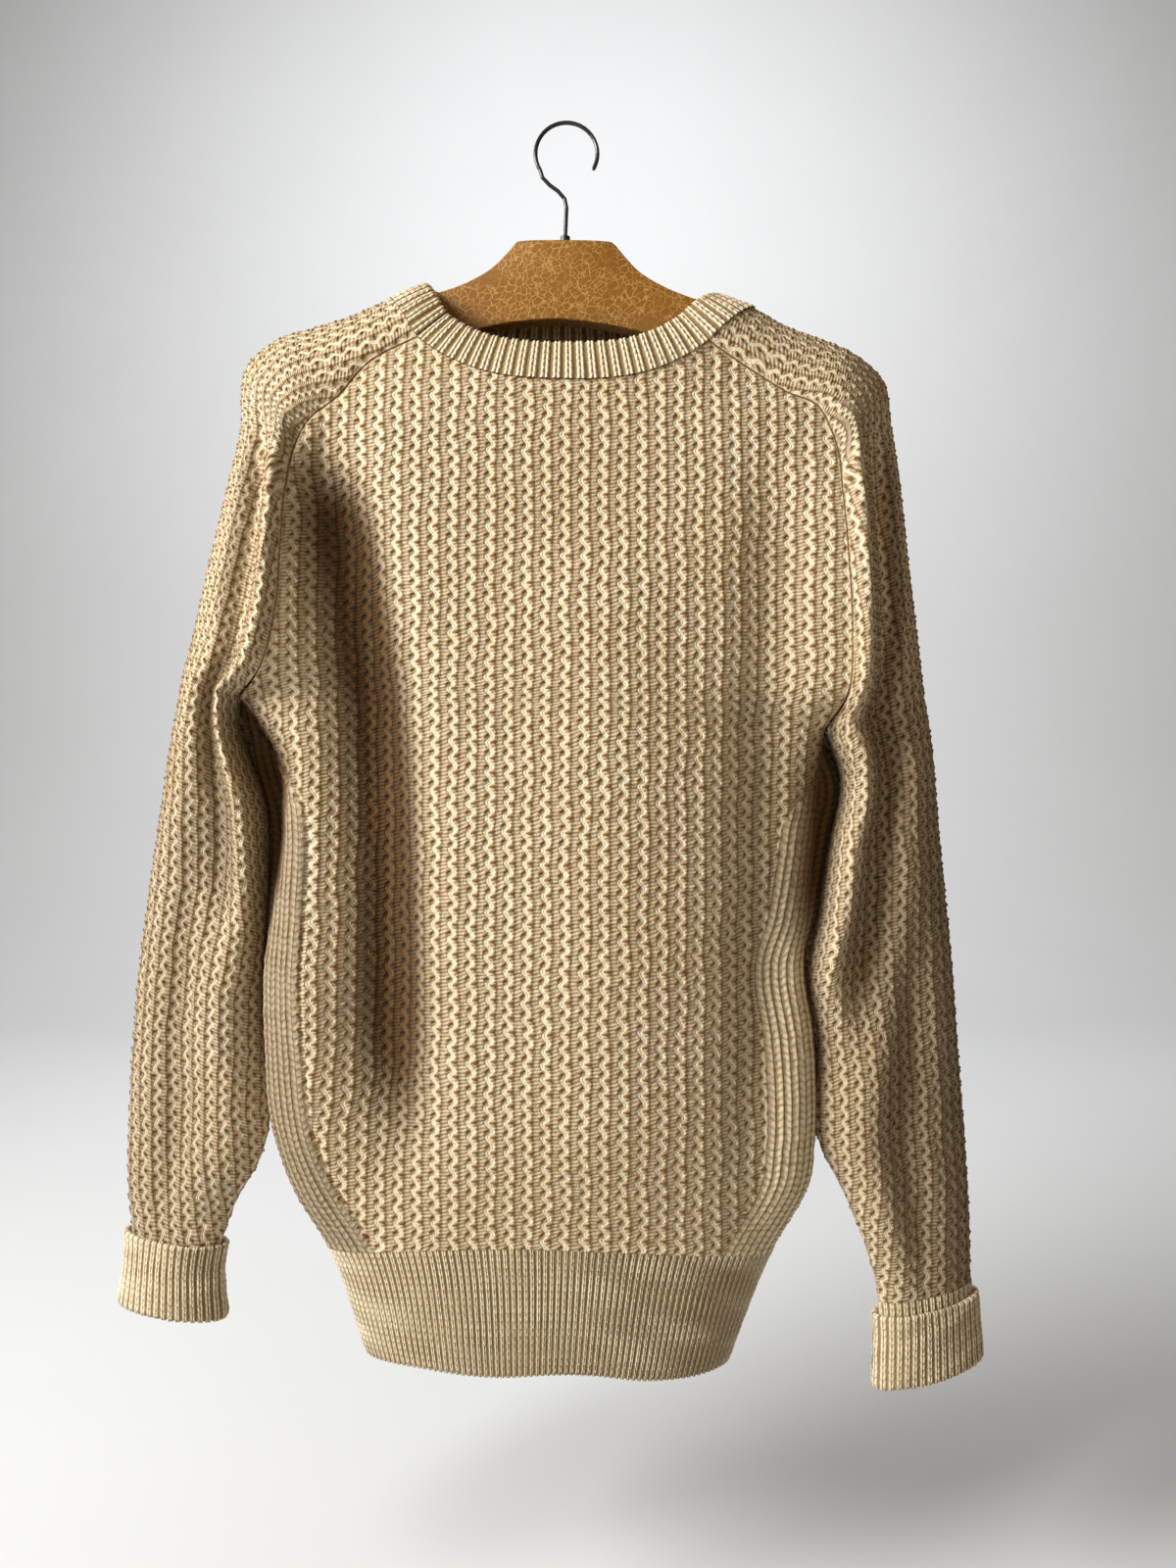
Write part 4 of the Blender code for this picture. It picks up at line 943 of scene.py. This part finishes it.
def blend_colours(tree, share, low, high):
    """A colour between two, each a socket or fixed."""
    mixer = node(tree, "Mix", data_type="RGBA")
    tree.links.new(share.socket, mixer.inputs["Factor"])
    for colour, socket in ((low, mixer.inputs[6]), (high, mixer.inputs[7])):
        if isinstance(colour, tuple):
            socket.default_value = (*colour, 1.0)
        else:
            tree.links.new(colour, socket)
    return mixer.outputs[2]


def noise(tree, scale, detail=3.0, roughness=0.6):
    texture = node(tree, "TexNoise", Scale=scale, Detail=detail, Roughness=roughness)
    position = node(tree, "TexCoord")
    tree.links.new(position.outputs["Object"], texture.inputs["Vector"])
    return Value(texture.outputs["Fac"])


def wool(name, kind):
    """Undyed wool: height, painted shade in the gaps and holes between strands and in folds, loose fibres
    and yarn from the knit's maps.
    """
    material, tree, shader = new_material(name)
    u, v = uv_of(tree, "knit")
    if kind == "panel":
        beyond, _ = uv_of(tree, "seam")
        e, s = uv_of(tree, "strip")
        height = knit_height(u, v, e, s, beyond)
    else:
        height = vees(u, v, RIB_VEE)
    fuzz = noise(tree, 900.0)
    patches = noise(tree, 14.0, 2.0)
    curl = noise(tree, 330.0, 2.0)
    shade = smooth(0.08, 0.95, height + (fuzz - 0.5) * 0.40 + (curl - 0.5) * 0.50)
    light = blend_colours(tree, smooth(0.35, 0.65, patches),
                          (0.80, 0.68, 0.465), (0.84, 0.73, 0.525))
    # Painted shade: the dark gap colour, which the colour falls to where the knit is low, in the gaps and
    # holes between strands.
    painted_gap_shade = (0.20, 0.104, 0.026) if kind == "panel" else (0.28, 0.19, 0.085)
    colour = blend_colours(tree, shade, painted_gap_shade, light)
    if kind == "panel":
        # Painted shade: where the shade map is high, the colour turns to a deeper, near-black amber
        # brown.
        painted_shade, _ = uv_of(tree, "painted_shade")
        deep = blend_colours(tree, shade, (0.030, 0.014, 0.003), (0.12, 0.062, 0.016))
        colour = blend_colours(tree, painted_shade, colour, deep)
    tree.links.new(colour, shader.inputs["Base Color"])
    shader.inputs["Roughness"].default_value = 0.92
    shader.inputs["Sheen Weight"].default_value = 0.13
    shader.inputs["Sheen Roughness"].default_value = 0.45
    shader.inputs["Sheen Tint"].default_value = (1.0, 0.93, 0.80, 1.0)
    shader.inputs["Specular IOR Level"].default_value = 0.25
    bump = node(tree, "Bump", Strength=0.85, Distance=0.0020)
    tree.links.new((height + fuzz * 0.35 + curl * 0.55).socket, bump.inputs["Height"])
    tree.links.new(bump.outputs[0], shader.inputs["Normal"])
    return material


def leatherette():
    material, tree, shader = new_material("leatherette")
    warp = noise(tree, 60.0)
    position = node(tree, "TexCoord")
    cells = node(tree, "TexVoronoi", feature="DISTANCE_TO_EDGE", Scale=230.0)
    bend = node(tree, "VectorMath", operation="ADD")
    push = node(tree, "CombineXYZ")
    for i in range(3):
        tree.links.new((warp * 0.02).socket, push.inputs[i])
    tree.links.new(position.outputs["Object"], bend.inputs[0])
    tree.links.new(push.outputs[0], bend.inputs[1])
    tree.links.new(bend.outputs[0], cells.inputs["Vector"])
    edge = Value(cells.outputs["Distance"])
    kept = smooth(0.25, 0.48, noise(tree, 45.0))
    vein = (1.0 - smooth(0.0, 0.095, edge)) * kept
    grain = noise(tree, 700.0)
    base = blend_colours(tree, noise(tree, 20.0), (0.19, 0.074, 0.005), (0.26, 0.108, 0.009))
    colour = blend_colours(tree, vein * 0.75, base, (0.50, 0.29, 0.080))
    tree.links.new(colour, shader.inputs["Base Color"])
    shader.inputs["Roughness"].default_value = 0.50
    shader.inputs["Coat Weight"].default_value = 0.08
    bump = node(tree, "Bump", Strength=0.25, Distance=0.0006)
    tree.links.new((grain * 0.5 - vein).socket, bump.inputs["Height"])
    tree.links.new(bump.outputs[0], shader.inputs["Normal"])
    return material


def black_wire():
    material, tree, shader = new_material("black_wire")
    wear_and_painted_shade = smooth(0.60, 0.75, noise(tree, 240.0))
    colour = blend_colours(tree, wear_and_painted_shade * 0.4, (0.012, 0.012, 0.013), (0.05, 0.048, 0.046))
    tree.links.new(colour, shader.inputs["Base Color"])
    rough = noise(tree, 500.0) * 0.12 + 0.24
    tree.links.new(rough.socket, shader.inputs["Roughness"])
    return material


def plain_floor():
    material, tree, shader = new_material("pale_floor")
    colour = blend_colours(tree, noise(tree, 3.0), (0.65, 0.66, 0.67), (0.68, 0.69, 0.70))
    tree.links.new(colour, shader.inputs["Base Color"])
    shader.inputs["Roughness"].default_value = 0.9
    return material


def make_stage():
    """A pale floor that sweeps up behind."""
    profile = [(-4.0, FLOOR_Z), (FLOOR_BACK, FLOOR_Z)]
    for i in range(1, SWEEP_STEPS + 1):
        turn = math.pi / 2.0 * i / SWEEP_STEPS
        profile.append((FLOOR_BACK + SWEEP * math.sin(turn),
                        FLOOR_Z + SWEEP - SWEEP * math.cos(turn)))
    profile.append((FLOOR_BACK + SWEEP, 4.0))
    verts = [(x, y, z) for y, z in profile for x in (-6.0, 6.0)]
    faces = [(2 * i, 2 * i + 1, 2 * i + 3, 2 * i + 2) for i in range(len(profile) - 1)]
    mesh = bpy.data.meshes.new("floor")
    mesh.from_pydata(verts, [], faces)
    mesh.shade_smooth()
    mesh.materials.append(plain_floor())
    floor = bpy.data.objects.new("floor", mesh)
    bpy.context.scene.collection.objects.link(floor)


def aim(thing, place_at, target):
    thing.location = place_at
    thing.rotation_euler = (Vector(target) - Vector(place_at)).to_track_quat("-Z", "Y").to_euler()
    bpy.context.scene.collection.objects.link(thing)


def make_lights():
    for name, place_at, target, size, power, colour in (
            ("key", (-1.45, -0.92, 0.48), (0.0, 0.0, -0.42), 0.9, 66.0, (1.0, 0.985, 0.955)),
            ("fill", (0.6, -2.4, 0.4), (0.0, 0.0, -0.45), 2.2, 9.0, (1.0, 0.74, 0.42)),
            ("backdrop", (0.0, 0.9, 1.7), (0.0, 3.2, 0.4), 2.4, 74.0, (0.97, 0.98, 1.0))):
        lamp = bpy.data.lights.new(name, "AREA")
        lamp.shape = "DISK"
        lamp.size = size
        lamp.energy = power
        lamp.color = colour
        aim(bpy.data.objects.new(name, lamp), place_at, target)
    world = bpy.data.worlds.new("studio")
    world.use_nodes = True
    world.node_tree.nodes["Background"].inputs["Color"].default_value = (1.0, 0.84, 0.62, 1.0)
    world.node_tree.nodes["Background"].inputs["Strength"].default_value = 0.075
    bpy.context.scene.world = world
    bpy.context.scene.view_settings.view_transform = "Standard"


def make_camera():
    """Level and square to the garment, as the photograph was taken."""
    data = bpy.data.cameras.new("camera")
    data.sensor_fit = "VERTICAL"
    data.sensor_height = 36.0
    data.sensor_width = 36.0
    data.lens = CAMERA_LENS
    camera = bpy.data.objects.new("camera", data)
    aim(camera, (CAMERA_X, -CAMERA_AWAY, CAMERA_Z), (CAMERA_X, 0.0, CAMERA_Z))
    bpy.context.scene.camera = camera


panel_wool = wool("wool_zigzag", "panel")
rib_wool = wool("wool_ribs", "rib")
front = make_body_panel("front", panel_wool)
back = make_body_panel("back", panel_wool)
sleeves = {side: make_sleeve(side, panel_wool) for side in ("left", "right")}
neckband = make_neckband(rib_wool)
hem = make_hem(rib_wool)
cuffs = {side: make_cuff(side, rib_wool) for side in ("left", "right")}
make_hanger(leatherette())
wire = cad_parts["hanger_hook"].data
wire.materials.clear()
wire.materials.append(black_wire())
make_stage()
make_lights()
make_camera()
